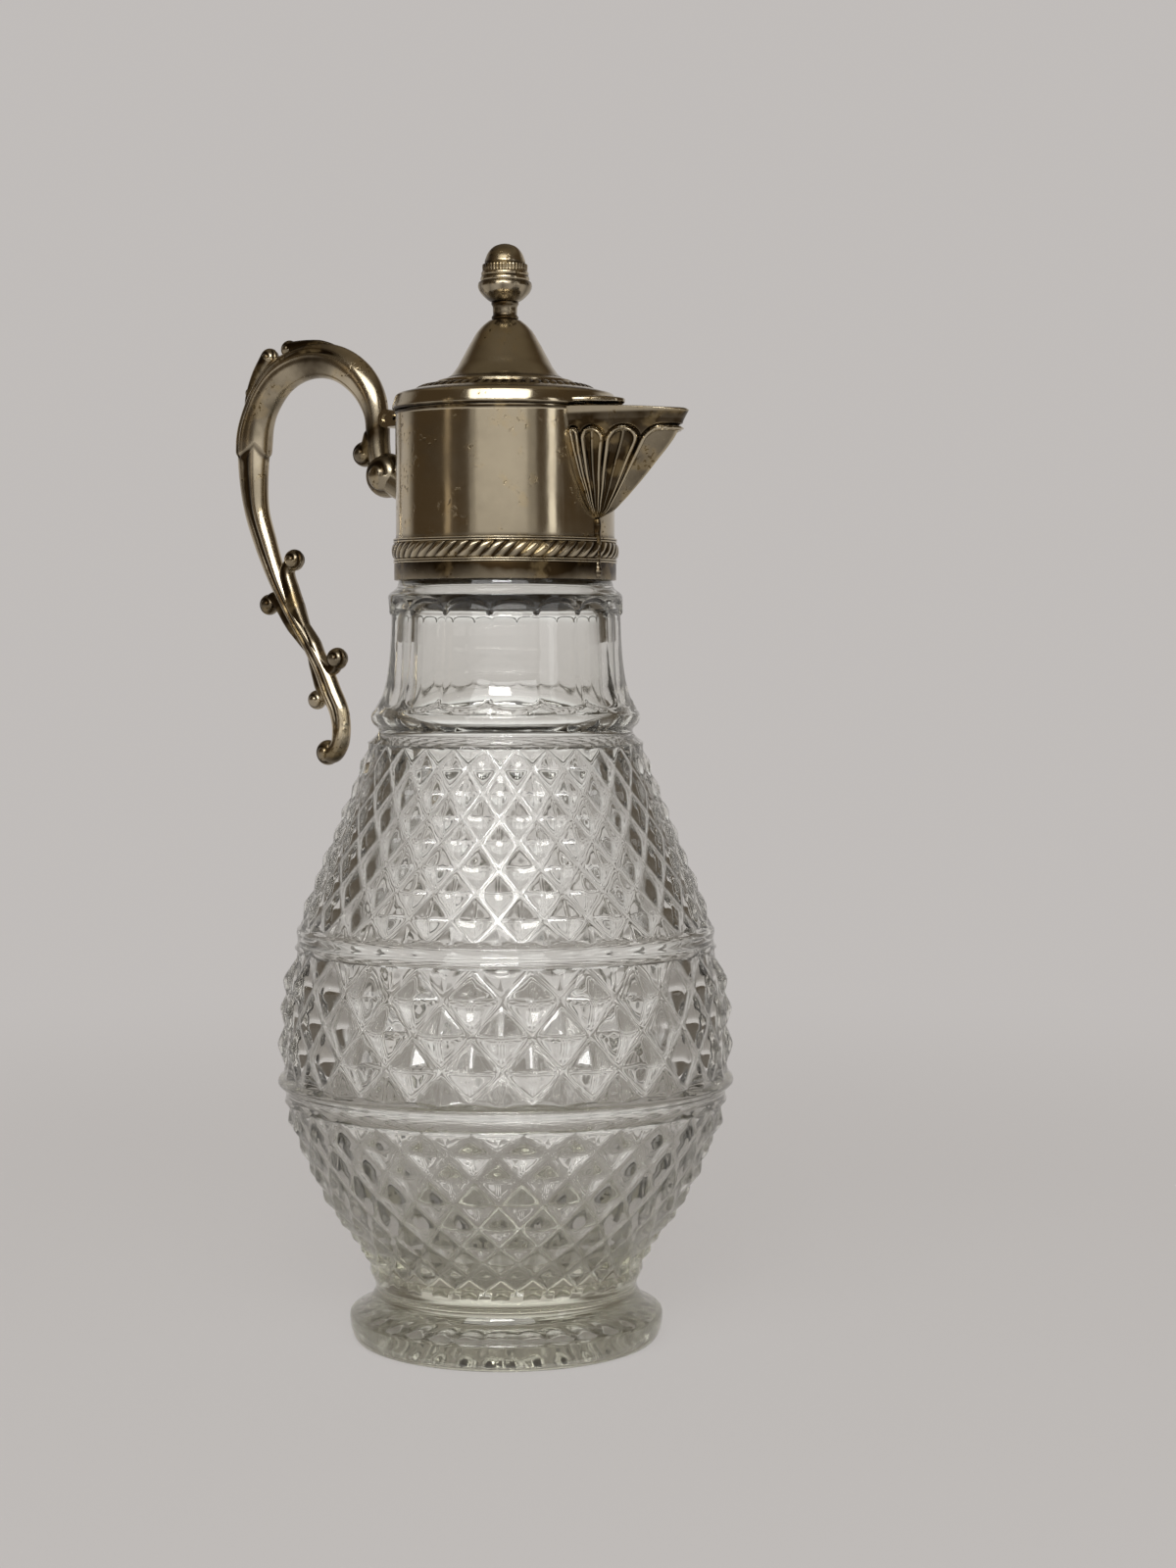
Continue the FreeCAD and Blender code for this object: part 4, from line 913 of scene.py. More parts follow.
@dataclass(frozen=True)
class Mount:
    """The plated mount: sleeve with the spout opening, rope band between wires, skirt and seam rib.

    notch gives the half width of the opening over its height, and lip is where the sleeve's top turns out. A
    strand of the rope shifts by rope_slant strands from the middle to an edge, and stands out by rope_depth.
    """

    radius: float = 28.9
    wall: float = 0.8
    low: float = 201.6
    lip: float = 244.6
    high: float = 245.6
    notch: Table = ((221.0, 0.0), (224.4, 3.2), (231.7, 6.4), (239.1, 8.6), (245.7, 9.9))
    strands: int = 56
    rope_middle: float = 209.2
    rope_half: float = 2.1
    rope_rise: float = 0.85
    rope_slant: float = 0.62
    rope_depth: float = 0.85
    skirt_outline: Table = ((28.9, 201.6), (29.3, 201.6), (29.3, 205.9), (28.9, 205.9))
    reed: float = 0.3

    def sleeve(self) -> None:
        """Make the sleeve: at each height the angle runs from one side of the opening round to the other, and
        the radius has slow dents and a small lip at the top."""
        foot = self.notch[0][0]
        height = spaced((self.low, foot, 24), (221.2, self.lip, 60), (244.8, self.high, 6))[:, None]
        half = np.where(height > foot, column(self.notch, np.maximum(height, foot)), 0.0)
        start = np.arcsin(half / self.radius)
        angle = start + np.linspace(0.0, 1.0, 289)[None, :] * (TURN - 2.0 * start)
        dents = 0.03 * unevenness(angle, height, 4)
        radius = self.radius - 0.04 + dents + 0.2 * ease(self.lip, self.high, height)
        # Darker below about 213 mm, behind the bands; the top edge, under the lid, is darkened with painted
        # shade.
        grime_and_shade = 0.55 * (1.0 - ease(212.4, 213.6, height)) + ease(244.7, 245.2, height)
        patch = Patch(around(radius, angle, height), grime_and_shade, ring=False)
        Piece("collar_sleeve_plated", "collar_sleeve", wall=self.wall).make(patch)

    def rope(self) -> None:
        """Make the rope: an oval section turned round the axis, whose face swells in slanted strands. Each
        strand is a half circle over the fraction of strands times angle less the slant."""
        turn = np.linspace(0.0, TURN, 36, endpoint=False)
        radius = self.radius + 0.1 + self.rope_rise * np.cos(turn)
        profile = np.stack([radius, self.rope_middle + self.rope_half * np.sin(turn)], axis=1)

        def strands(angle: Array, height: Array) -> tuple[Array, Array]:
            """Work out the strands and the grime between them.

            Args:
                angle: Angles round the axis.
                height: Heights on the section.

            Returns:
                The change of radius and the share of tarnish.
            """
            slant = (height - self.rope_middle) / self.rope_half
            part = (self.strands * angle / TURN - self.rope_slant * slant) % 1.0 - 0.5
            swell = arc(2.0 * part)
            face = np.cos(np.arcsin(np.clip(slant, -1.0, 1.0)))
            return (swell - LEVEL) * self.rope_depth * face, 1.2 * (1.0 - swell) ** 0.55

        patch = turned(profile, self.strands * 14, relief=strands)
        Piece("rope_band_twisted", "rope_band", sharp=70.0).make(patch)

    def wire(self, name: str, low: float) -> None:
        """Make a pair of fine reeds on a strip: two half ovals, one above the other, with grime between.

        Args:
            name: CAD wire that they stand for.
            low: Height of its lower edge.
        """
        turn = np.linspace(-0.5, 0.5, 9) * math.pi
        step = 2.0 * self.reed
        radius, height = self.radius + 0.2 + 0.42 * np.cos(turn), self.reed + self.reed * np.sin(turn)
        reed = np.stack([radius, height], axis=1)
        ends = np.array([[self.radius, 0.0], [self.radius, 2.0 * step]])
        outline = np.concatenate([ends[:1], reed, reed + [0.0, step], ends[1:]]) + [0.0, low]
        relief = worn(0.03, 9, lambda level: 0.8 * (1.0 - ease(0.0, 0.22, np.abs(level - low - step))))
        Piece(name + "_reeded", name).make(turned(outline, 256, relief=relief))

    def skirt(self) -> None:
        """Make the skirt: a flat strip with eased edges, turned round the axis, dark all over and darker near
        its upper edge.
        """
        relief = worn(0.05, 2, lambda level: 0.55 + 0.45 * ease(204.6, 205.8, level))
        patch = turned(eased(self.skirt_outline, 0.16), 256, relief=relief)
        Piece("skirt_band_worn", "skirt_band").make(patch)

    def rib(self) -> None:
        """Make the seam rib: an upright oval bar, thicker over a blob of solder near its foot."""
        height = np.linspace(self.low, 217.3, 60)
        blob = bell(height - 203.6, 0.9)
        line = np.stack([np.full_like(height, 28.95), height], axis=1)
        depth = 0.95 + 0.3 * blob + 0.1 * np.sin(height * 1.7)
        width = 0.75 + 0.4 * blob + 0.08 * np.sin(height * 2.3 + 1.0)
        depth[[0, -1]] = 0.0

        def dirt(share: Array, angle: Array) -> tuple[float, Array]:
            """Return no relief, and grime in patches along the rib."""
            return 0.0, 0.4 + 0.4 * np.sin(height * 2.9)[:, None] ** 2

        patch = swept(line, depth, width, 20, dirt)
        Piece("seam_rib_soldered", "seam_rib", CAST_SILVER).make(patch)

    def build(self) -> None:
        """Make the mount's pieces and dress the nodes that stay."""
        self.sleeve()
        self.rope()
        self.wire("upper_band_wire", 211.3)
        self.wire("lower_band_wire", 205.9)
        self.skirt()
        self.rib()
        dress_nodes(SHEET_SILVER, "mouth_ring")
        dress_nodes(PLASTER, "neck_bedding")


@dataclass(frozen=True)
class Spout:
    """The pressed spout: a half-oval fan that opens upwards, seven ribbed petals and a plain lip.

    table gives the reach of the keel and the half width over the height, and edges are the shares of the
    outline where petals meet. Relief has its full size where the outline is as long as full, and there the
    groove, the bead and the rib have their widths. oval has the half axes of the outline that spaces points.
    """

    table: Table = (
        (217.2, 29.6, 0.5), (218.9, 33.6, 2.0), (221.5, 37.0, 3.6), (224.4, 40.2, 5.0), (227.9, 43.8, 6.7),
        (231.7, 47.4, 8.1), (235.0, 50.6, 9.2), (237.7, 52.8, 9.9), (239.7, 53.8, 10.3),
        (242.0, 54.9, 10.8), (245.7, 57.4, 11.5),
    )
    edges: tuple[float, ...] = (0.0, 0.06, 0.185, 0.34, 0.66, 0.815, 0.94, 1.0)
    arch: float = 240.3
    corner: float = 4.5
    full: float = 50.0
    groove: float = 0.95
    groove_width: float = 0.34
    bead: float = 0.40
    bead_place: float = 0.85
    bead_width: float = 0.36
    recess: float = 0.85
    rib: float = 0.75
    rib_width: float = 0.42
    top: float = 245.55
    fall: float = 1.5
    wall: float = 0.9
    collar: float = 28.9
    oval: tuple[float, float] = (25.0, 10.0)

    def petals(self, share: Array, height: Array, length: Array) -> tuple[Array, Array]:
        """Return the petals' relief and darkening: bell curves over the distance from each petal's outline,
        which is a rounded rectangle. A groove lies on it, a bead inside that, and a recess with a rib within.

        Args:
            share: Share of the outline's length at each place.
            height: Height at each place.
            length: Length of the outline at each place.

        Returns:
            The rise along the normal and the share of darkening: patina, and on the lip band above the arches
            painted shade and a painted dark reflection.
        """
        edges = np.array(self.edges)
        which = np.clip(np.searchsorted(edges, share, side="right") - 1, 0, len(edges) - 2)
        half = (edges[which + 1] - edges[which]) / 2.0 * length
        middle = np.abs(share - (edges[which + 1] + edges[which]) / 2.0) * length
        size = np.clip(length / self.full, 0.3, 1.0)
        side, below = half - middle, self.arch - height
        radius = np.minimum(half, self.corner)
        rounding = radius - np.hypot(np.maximum(radius - side, 0.0), np.maximum(radius - below, 0.0))
        inside = np.where((side < radius) & (below < radius), rounding, np.minimum(side, below)) / size
        groove = bell(inside, self.groove_width)
        bead = bell(inside - self.bead_place, self.bead_width) * (1.0 + 0.8 * bell(below - 0.8, 1.0))
        hollow = ease(1.15, 1.6, inside)
        rib = bell(middle / size, self.rib_width) * hollow * ease(1.6, 2.6, half / size)
        above = ease(-0.2, -0.9, inside)
        start = ease(217.6, 220.5, height)
        rise = self.bead * bead - self.groove * groove - self.recess * hollow + self.rib * rib - 0.25 * above
        # Painted shade just above the arches and a painted dark reflection over the lip band, eased off
        # towards the lip's top edge.
        lip = above * (0.65 + 0.45 * (1.0 - ease(241.0, 242.2, height)) - 0.8 * ease(243.4, 244.2, height))
        wide = np.where(which == (len(edges) - 1) // 2, 0.35, 1.0)
        grime_and_shade = np.clip(0.25 + 1.2 * groove + wide * hollow - 0.85 * rib - 0.6 * bead + lip, 0.0, 1.0)
        return rise * size * start, grime_and_shade

    def build(self) -> None:
        """Make the spout. At each height the outline is a half oval from the sleeve to the keel, and the
        petals' relief is added along its normal."""
        fine = np.linspace(-0.5, 0.5, 2001) * math.pi
        long, wide = self.oval
        length = lengths(np.stack([long * np.cos(fine), wide * np.sin(fine)], axis=1))
        share = np.linspace(0.0, 1.0, 241)[None, :]
        turn = np.interp(share, length / length[-1], fine)
        rise = np.concatenate([np.linspace(0.0, 0.7, 70, endpoint=False), np.linspace(0.7, 1.0, 75)])[:, None]
        foot = self.table[0][0]
        height = foot + rise * (self.top - self.fall * np.cos(turn) ** 2 - foot)
        keel, half = column(self.table, height), column(self.table, height, 2)
        root = np.sqrt(self.collar**2 - half**2) - 0.3
        x = root + (keel - root) * np.cos(turn) ** 1.1
        change, grime_and_shade = self.petals(share, height, length[-1] * half / wide)
        normal = np.stack([np.cos(turn) * half, np.sin(turn) * (keel - root)], axis=-1)
        normal = normal / np.linalg.norm(normal, axis=-1)[..., None]
        places = [x + change * normal[..., 0], half * np.sin(turn) + change * normal[..., 1], height]
        patch = Patch(np.stack(places, axis=-1), grime_and_shade, ring=False)
        Piece("spout_fluted", "spout", sharp=55.0, wall=self.wall).make(patch)


@dataclass(frozen=True)
class Scroll:
    """A tendril of the handle that ends in a round bud.

    Attributes:
        stops: Points of its line in x and z, the last one at the middle of the bud.
        thick: Its half thickness at the start and at the bud.
        bud: Radius of the bud, within the handle's plane.
        wide: Half width of the bud across the handle.
        tip: Share of its length over which it swells from its start.
        spiral: Angle from the pole where the bud's groove ends, its gain in one turn, and its width.
    """

    stops: Table
    thick: tuple[float, float]
    bud: float
    wide: float
    tip: float = 0.45
    spiral: tuple[float, float, float] = (0.35, 0.75, 0.14)

    def tendril(self) -> Patch:
        """Work out the tendril: an oval along its line with a rounded start and a groove along each side.

        Returns:
            Its surface.
        """
        line = path(self.stops, 60)
        share = np.linspace(0.0, 1.0, len(line))
        depth = self.thick[0] + (self.thick[1] - self.thick[0]) * share
        depth = depth * np.sqrt(np.clip(share / self.tip, 0.0, 1.0))
        depth[[0, -1]] = 0.0

        def wear(along: Array, angle: Array) -> tuple[Array, Array]:
            """Return a groove along each side, and grime that grows towards the bud."""
            side = bell(np.abs(np.sin(angle)) - 1.0, 0.12)
            return -0.3 * side, 0.25 + 0.3 * along + 0.4 * side

        return swept(line, depth, depth * 1.15, 28, wear)

    def curl(self) -> Patch:
        """Work out the bud: an oval ball whose poles look sideways, with a spiral groove to each pole.

        Returns:
            Its surface.
        """
        fall = np.linspace(0.0, math.pi, 40)[:, None]
        turn = circle(64)
        end, gain, width = self.spiral
        off = np.minimum(fall, math.pi - fall) - end - gain * turn / TURN
        groove = bell(off, width) + bell(off - gain, width) * (turn < 1.0)
        radius = 1.0 - 0.10 * groove
        x = self.stops[-1][0] + self.bud * radius * np.sin(fall) * np.cos(turn)
        z = self.stops[-1][1] + self.bud * radius * np.sin(fall) * np.sin(turn)
        y = self.wide * radius * np.cos(fall)
        y[[0, -1]] = y[[0, -1]].mean(axis=1, keepdims=True)
        grime_and_shade = np.clip(0.25 + 0.05 * self.bud + 0.6 * groove, 0.0, 1.0)
        return Patch(np.stack([x, y, z], axis=-1), grime_and_shade)


@dataclass(frozen=True)
class Handle:
    """The cast handle: a shell foot on the sleeve, a creased arch, a leaf collar, a reeded tail and buds.

    line, thick and wide run from the foot to the tail. The leaf ends at the share leaf_at of the length, and
    its lobes reach leaf_lap past that. crease, rim and reed have an angle round the oval and a width.
    """

    line: Table = (
        (-39.2, 229.6), (-40.6, 232.4), (-41.6, 235.4), (-42.1, 239.0), (-42.2, 243.0), (-42.6, 246.8),
        (-43.8, 250.7), (-46.4, 254.9), (-50.4, 258.6), (-55.8, 261.4), (-61.6, 262.5), (-69.3, 261.7),
        (-76.4, 258.4), (-81.6, 252.8), (-85.0, 245.2), (-85.9, 237.8), (-85.9, 230.5), (-84.9, 222.3),
        (-81.6, 212.5), (-78.2, 204.4), (-74.2, 196.8), (-69.6, 189.6), (-65.0, 183.4), (-61.4, 177.4),
        (-58.6, 171.4), (-56.0, 166.2), (-55.2, 161.0), (-56.0, 156.8), (-58.6, 154.4), (-60.0, 154.6),
    )
    thick: tuple[float, ...] = (
        5.0, 5.8, 6.3, 6.5, 6.5, 6.8, 7.9, 8.9, 9.4, 9.6, 9.6, 9.8, 10.2, 10.5, 10.3, 10.0, 9.0, 7.6, 6.8,
        5.7, 4.7, 4.4, 4.9, 5.6, 6.0, 5.8, 5.3, 5.0, 5.2, 5.0,
    )
    wide: tuple[float, ...] = (
        5.6, 6.2, 6.6, 6.8, 6.8, 6.8, 7.2, 7.6, 8.0, 8.2, 8.2, 8.2, 8.2, 8.0, 7.6, 7.2, 6.6, 6.2, 5.8, 5.4,
        5.2, 5.0, 5.0, 5.0, 5.0, 5.0, 5.0, 5.2, 5.6, 5.0,
    )
    scrolls: tuple[Scroll, ...] = (
        Scroll(((-65.4, 184.4), (-69.6, 192.0), (-72.6, 199.6), (-73.9, 205.4), (-71.5, 208.0)),
               (2.9, 1.9), 3.0, 2.7),
        Scroll(((-64.8, 180.6), (-68.8, 186.0), (-73.2, 191.4), (-76.4, 195.6), (-78.6, 197.4),
                (-80.5, 195.7)), (2.1, 1.9), 2.9, 2.6),
        Scroll(((-70.4, 193.4), (-65.4, 185.4), (-61.6, 179.6), (-58.0, 178.0), (-56.5, 180.7)),
               (2.6, 1.8), 3.1, 2.8),
        Scroll(((-67.4, 187.0), (-64.0, 179.6), (-62.4, 174.0), (-61.6, 170.8), (-63.6, 169.3)),
               (2.3, 1.7), 2.7, 2.5),
        Scroll(((-55.4, 159.0), (-56.6, 156.2), (-58.2, 154.6), (-59.9, 154.8)), (2.4, 2.2), 3.5, 2.9),
        Scroll(((-88.2, 242.0), (-86.9, 252.0), (-83.6, 259.4), (-79.9, 264.2)), (1.1, 2.5), 2.7, 2.5),
        Scroll(((-54.0, 265.4), (-61.0, 266.8), (-67.0, 266.8), (-72.8, 266.2)), (0.8, 2.1), 2.5, 2.3),
        Scroll(((-85.2, 246.0), (-86.4, 249.6), (-87.2, 252.6), (-86.8, 254.8)), (0.9, 1.1), 1.6, 1.6),
        Scroll(((-41.8, 246.0), (-43.2, 241.0), (-44.4, 238.0), (-46.4, 236.4)), (3.0, 3.0), 3.5, 3.6),
        Scroll(((-25.0, 222.6), (-30.2, 225.2), (-35.2, 228.0), (-39.0, 230.4)), (3.4, 4.2), 6.1, 5.3),
    )
    leaf_at: float = 0.455
    leaf_lap: float = 0.02
    crease: tuple[float, float] = (1.02, 0.11)
    rim: tuple[float, float] = (1.25, 0.12)
    reed: tuple[float, float] = (1.50, 0.26)

    def relief(self, along: Array, angle: Array) -> tuple[Array, Array]:
        """Return the crease, the leaf and the reeds, bell curves over the angle, with grime in each groove.

        Args:
            along: Shares of the stem's length.
            angle: Angles round the oval.

        Returns:
            The rise and the share of tarnish.
        """
        off = np.minimum(angle, TURN - angle)
        edge = self.leaf_at + self.leaf_lap * np.abs(np.sin(1.5 * off))
        tail = ease(-0.002, 0.004, along - edge)
        arch = ease(0.19, 0.26, along) * (1.0 - tail)
        crease = bell(off - self.crease[0], self.crease[1]) * arch
        rim = bell(off - self.rim[0], self.rim[1]) * arch
        reed = bell(off - self.reed[0], self.reed[1]) * tail * (1.0 - ease(0.92, 0.96, along))
        lap = bell(along - edge, 0.006)
        swell = 0.6 * arch * ease(self.leaf_at - 0.06, self.leaf_at, along)
        grime_and_shade = 0.32 * arch + crease - 0.3 * rim + reed + 0.8 * lap * tail + 0.5 * ease(0.94, 0.98, along)
        grime_and_shade = grime_and_shade + 0.45 * (1.0 - ease(0.12, 0.16, along))
        return swell - 1.0 * crease + 0.35 * rim - 0.75 * reed, np.clip(grime_and_shade, 0.0, 1.0)

    def stem(self) -> Patch:
        """Work out the handle's stem: an oval along its line with a crease on the arch, a lapped leaf edge,
        and two reeds along the tail.

        Returns:
            Its surface.
        """
        line = path(self.line, 520)
        share = np.linspace(0.0, 1.0, len(line))
        along = lengths(np.array(self.line))
        depth, width = (
            spline(along / along[-1], np.array(sizes) / 2.0, share) for sizes in (self.thick, self.wide)
        )
        depth[[0, -1]] = 0.0
        return swept(line, depth, width, 72, self.relief)

    def build(self) -> None:
        """Make the handle from its stem, its tendrils and their buds."""
        patches = [self.stem()]
        for scroll in self.scrolls:
            patches += [scroll.tendril(), scroll.curl()]
        Piece("handle_cast", "handle", CAST_SILVER, sharp=60.0).make(*patches)


# The lid


@dataclass(frozen=True)
class Lid:
    """The hinged lid: rim, cover and tongue, notched ring, bell and acorn finial.

    Outlines give radius and height, bell gives height and radius, tongue its half width along x. ring is the
    radius and height of the notched ring's middle, and ring_half is half its width and height. Its section
    leans by ring_lean, its notches by ring_slant, and they are cut by ring_depth outwards and upwards.
    """

    cover_outline: Table = (
        (28.6, 246.05), (29.4, 246.05), (29.75, 246.5), (29.7, 247.2), (28.95, 249.7), (28.4, 250.3),
        (27.6, 250.55), (27.1, 250.45), (26.7, 250.75), (16.0, 253.75), (12.6, 254.9), (12.6, 254.1),
        (16.0, 252.95), (26.9, 249.8), (28.0, 249.2), (28.6, 248.6),
    )
    tongue: Table = (
        (18.0, 11.0), (24.0, 11.0), (27.0, 10.4), (30.0, 8.8), (33.0, 6.0), (35.2, 3.2), (36.4, 1.5),
        (36.9, 0.0),
    )
    tongue_low: float = 246.1
    tongue_high: float = 248.5
    beads: int = 60
    ring: tuple[float, float] = (22.0, 251.8)
    ring_half: tuple[float, float] = (1.75, 0.70)
    ring_lean: float = 0.29
    ring_slant: float = 0.35
    ring_depth: tuple[float, float] = (0.5, 0.65)
    bell: Table = (
        (253.1, 18.2), (253.75, 17.9), (254.05, 17.0), (254.3, 15.9), (254.8, 15.0), (256.9, 13.0),
        (259.5, 11.5), (263.9, 9.05), (267.0, 7.1), (269.0, 5.1), (269.8, 3.9), (270.12, 3.0),
    )
    stem: Table = (
        (0.0, 270.1), (3.5, 270.1), (3.55, 270.6), (3.25, 271.0), (3.2, 272.2), (3.3, 273.4), (3.6, 274.0),
        (3.6, 274.4), (0.0, 274.4),
    )
    cup: Table = (
        (0.0, 274.35), (3.2, 274.35), (4.4, 275.0), (5.6, 276.0), (6.6, 277.2), (7.05, 278.3), (7.1, 279.0),
        (6.9, 279.7), (6.4, 279.9), (0.0, 279.6),
    )
    acorn: Table = (
        (0.0, 279.5), (6.0, 279.5), (6.45, 280.2), (6.4, 280.9), (6.15, 281.3), (6.25, 281.7), (6.2, 282.2),
        (5.95, 282.5), (5.95, 283.4), (5.85, 284.3), (5.3, 284.6), (5.35, 284.9), (5.1, 285.9),
        (4.7, 286.9), (4.0, 288.0), (2.9, 289.0), (1.4, 289.62), (0.0, 289.75),
    )

    def cover(self) -> None:
        """Make the cover: its outline turned round the axis, and a tongue whose width follows a table along
        x, with an oval edge all round. Painted shade darkens the foot of the rim, and patina lies in the
        hollow ring."""

        def rounded(wave: Array) -> Array:
            """Return a sine or cosine with fuller corners, its size to a power."""
            return np.sign(wave) * np.abs(wave) ** 0.55

        # Painted shade at the rim's lower edge, over the gap to the collar; patina in the hollow ring near
        # 250.5 mm.
        relief = worn(0.04, 7, lambda level: 1.0 - ease(246.3, 246.8, level) + bell(level - 250.5, 0.22))
        rim = turned(eased(self.cover_outline, 0.25, 3), 256, relief=relief)
        root, tip = self.tongue[0][0], self.tongue[-1][0]
        place = tip - (tip - root) * np.linspace(1.0, 0.0, 30)[:, None] ** 2
        half = np.clip(column(self.tongue, place), 0.0, None)
        half[-1] = 0.0
        turn = circle(48)
        middle, thick = (self.tongue_low + self.tongue_high) / 2.0, (self.tongue_high - self.tongue_low) / 2.0
        lift = np.sqrt(np.clip(half / 6.0, 0.0, 1.0))
        y, z = half * rounded(np.cos(turn)), middle + thick * lift * rounded(np.sin(turn))
        strip = np.stack(np.broadcast_arrays(place, y, z), axis=-1)
        start = np.broadcast_to([root, 0.0, middle], (1, *strip.shape[1:]))
        tongue = Patch(np.concatenate([start, strip]), 0.25)
        Piece("lid_cover_spun", "lid_cover", body=Body.LID).make(rim, tongue)

    def bead_ring(self) -> None:
        """Make the notched ring: an oval section leaning with the cover, cut by notches that lean too."""
        turn = np.linspace(0.0, TURN, 28, endpoint=False)[:, None]
        across, rise = self.ring_half[0] * np.cos(turn), self.ring_half[1] * np.sin(turn)
        angle = circle(self.beads * 12)
        part = (self.beads * angle / TURN + self.ring_slant * across / self.ring_half[0]) % 1.0 - 0.5
        swell = arc(2.0 * part)
        out, up = self.ring_depth
        radius = self.ring[0] + across + (swell - LEVEL) * out * np.clip(np.cos(turn), 0.0, 1.0)
        height = self.ring[1] - self.ring_lean * across + rise
        height = height + (swell - LEVEL) * up * np.clip(np.sin(turn), 0.0, 1.0)
        patch = Patch(around(radius, angle, height), 0.3 + 1.2 * (1.0 - swell) ** 0.5, loop=True)
        Piece("lid_bead_ring_notched", "lid_bead_ring", body=Body.LID, sharp=70.0).make(patch)

    def dome(self) -> None:
        """Make the bell: a smooth outline of radius over height, a wall thick, turned round the axis. Grime
        lies at its foot."""
        low, high, wall, bore = self.bell[0][0], self.bell[-1][0], 0.85, 1.3
        height = spaced((low, 256.0, 24), (256.4, 268.0, 30), (268.2, high, 12))
        outer = np.stack([column(self.bell, height), height], axis=1)
        inner = np.stack([np.maximum(outer[:, 0] - wall, bore), np.minimum(height, 269.3)], axis=1)[::-1]
        profile = np.concatenate([outer, [[bore, high]], inner])
        relief = worn(0.03, 5, lambda level: 0.12 + 0.6 * bell(level - 254.5, 0.3))
        patch = turned(profile, 224, relief=relief)
        Piece("lid_dome_spun", "lid_dome", body=Body.LID, sharp=50.0).make(patch)

    def finial(self) -> None:
        """Make stem, cup and acorn: outlines turned round the axis, the cup lobed, the acorn knurled."""

        def plain(angle: Array, height: Array) -> tuple[float, Array]:
            """Return no relief, and grime at both ends of the stem."""
            return 0.0, 0.35 + 0.5 * np.abs(height - 272.3) / 2.2

        def lobes(angle: Array, height: Array) -> tuple[Array, Array]:
            """Work out twelve shallow lobes, the size of a sine, and grime between them.

            Args:
                angle: Angles round the axis.
                height: Heights on the cup.

            Returns:
                The change of radius and the share of tarnish.
            """
            rise = ease(274.6, 276.6, height)
            wave = np.abs(np.sin(6.0 * angle)) * rise * (1.0 - ease(278.6, 279.6, height))
            return 0.10 * (wave - 0.6) * rise, 0.55 - 0.3 * wave

        def knurl(angle: Array, height: Array) -> tuple[Array, Array]:
            """Work out fine upright notches in the band, a raised cosine, and grime in the grooves.

            Args:
                angle: Angles round the axis.
                height: Heights on the acorn.

            Returns:
                The change of radius and the share of tarnish.
            """
            band = ease(282.3, 282.6, height) * (1.0 - ease(284.2, 284.5, height))
            notch = 0.5 + 0.5 * np.cos(40.0 * angle)
            groove = bell(height - 284.7, 0.25) + bell(height - 281.2, 0.25)
            return -0.16 * notch * band, np.clip(0.2 + 0.55 * notch * band + 0.8 * groove, 0.0, 1.0)

        shapes = {
            "stem_turned": (self.stem, plain),
            "cup_lobed": (self.cup, lobes),
            "acorn_knurled": (self.acorn, knurl),
        }
        for name, (outline, relief) in shapes.items():
            corners = np.array(outline)
            fine = np.concatenate([corners[:1], path(corners[1:-1], 72), corners[-1:]])
            patch = turned(fine, 240, loop=False, relief=relief)
            node = "finial_" + name.split("_")[0]
            Piece("finial_" + name, node, CAST_SILVER, Body.LID, sharp=60.0).make(patch)

    def build(self) -> None:
        """Make the lid's pieces and dress the nodes that stay."""
        self.cover()
        self.bead_ring()
        self.dome()
        self.finial()
        dress_nodes(SHEET_SILVER, "lid_locating_ring", "lid_hinge_leaf", "collar_hinge_leaf", "hinge_pin")
        dress_nodes(BRASS, "finial_stud", "finial_washer", "finial_nut")


# The studio


@dataclass(frozen=True)
class Panel:
    """A soft light: its bearing from the camera and its rise, seen from the jug in degrees, its distance,
    width and height in metres, and its brightness."""

    name: str
    bearing: float
    rise: float
    distance: float
    width: float
    height: float
    brightness: float
    colour: Colour = (1.0, 1.0, 1.0)


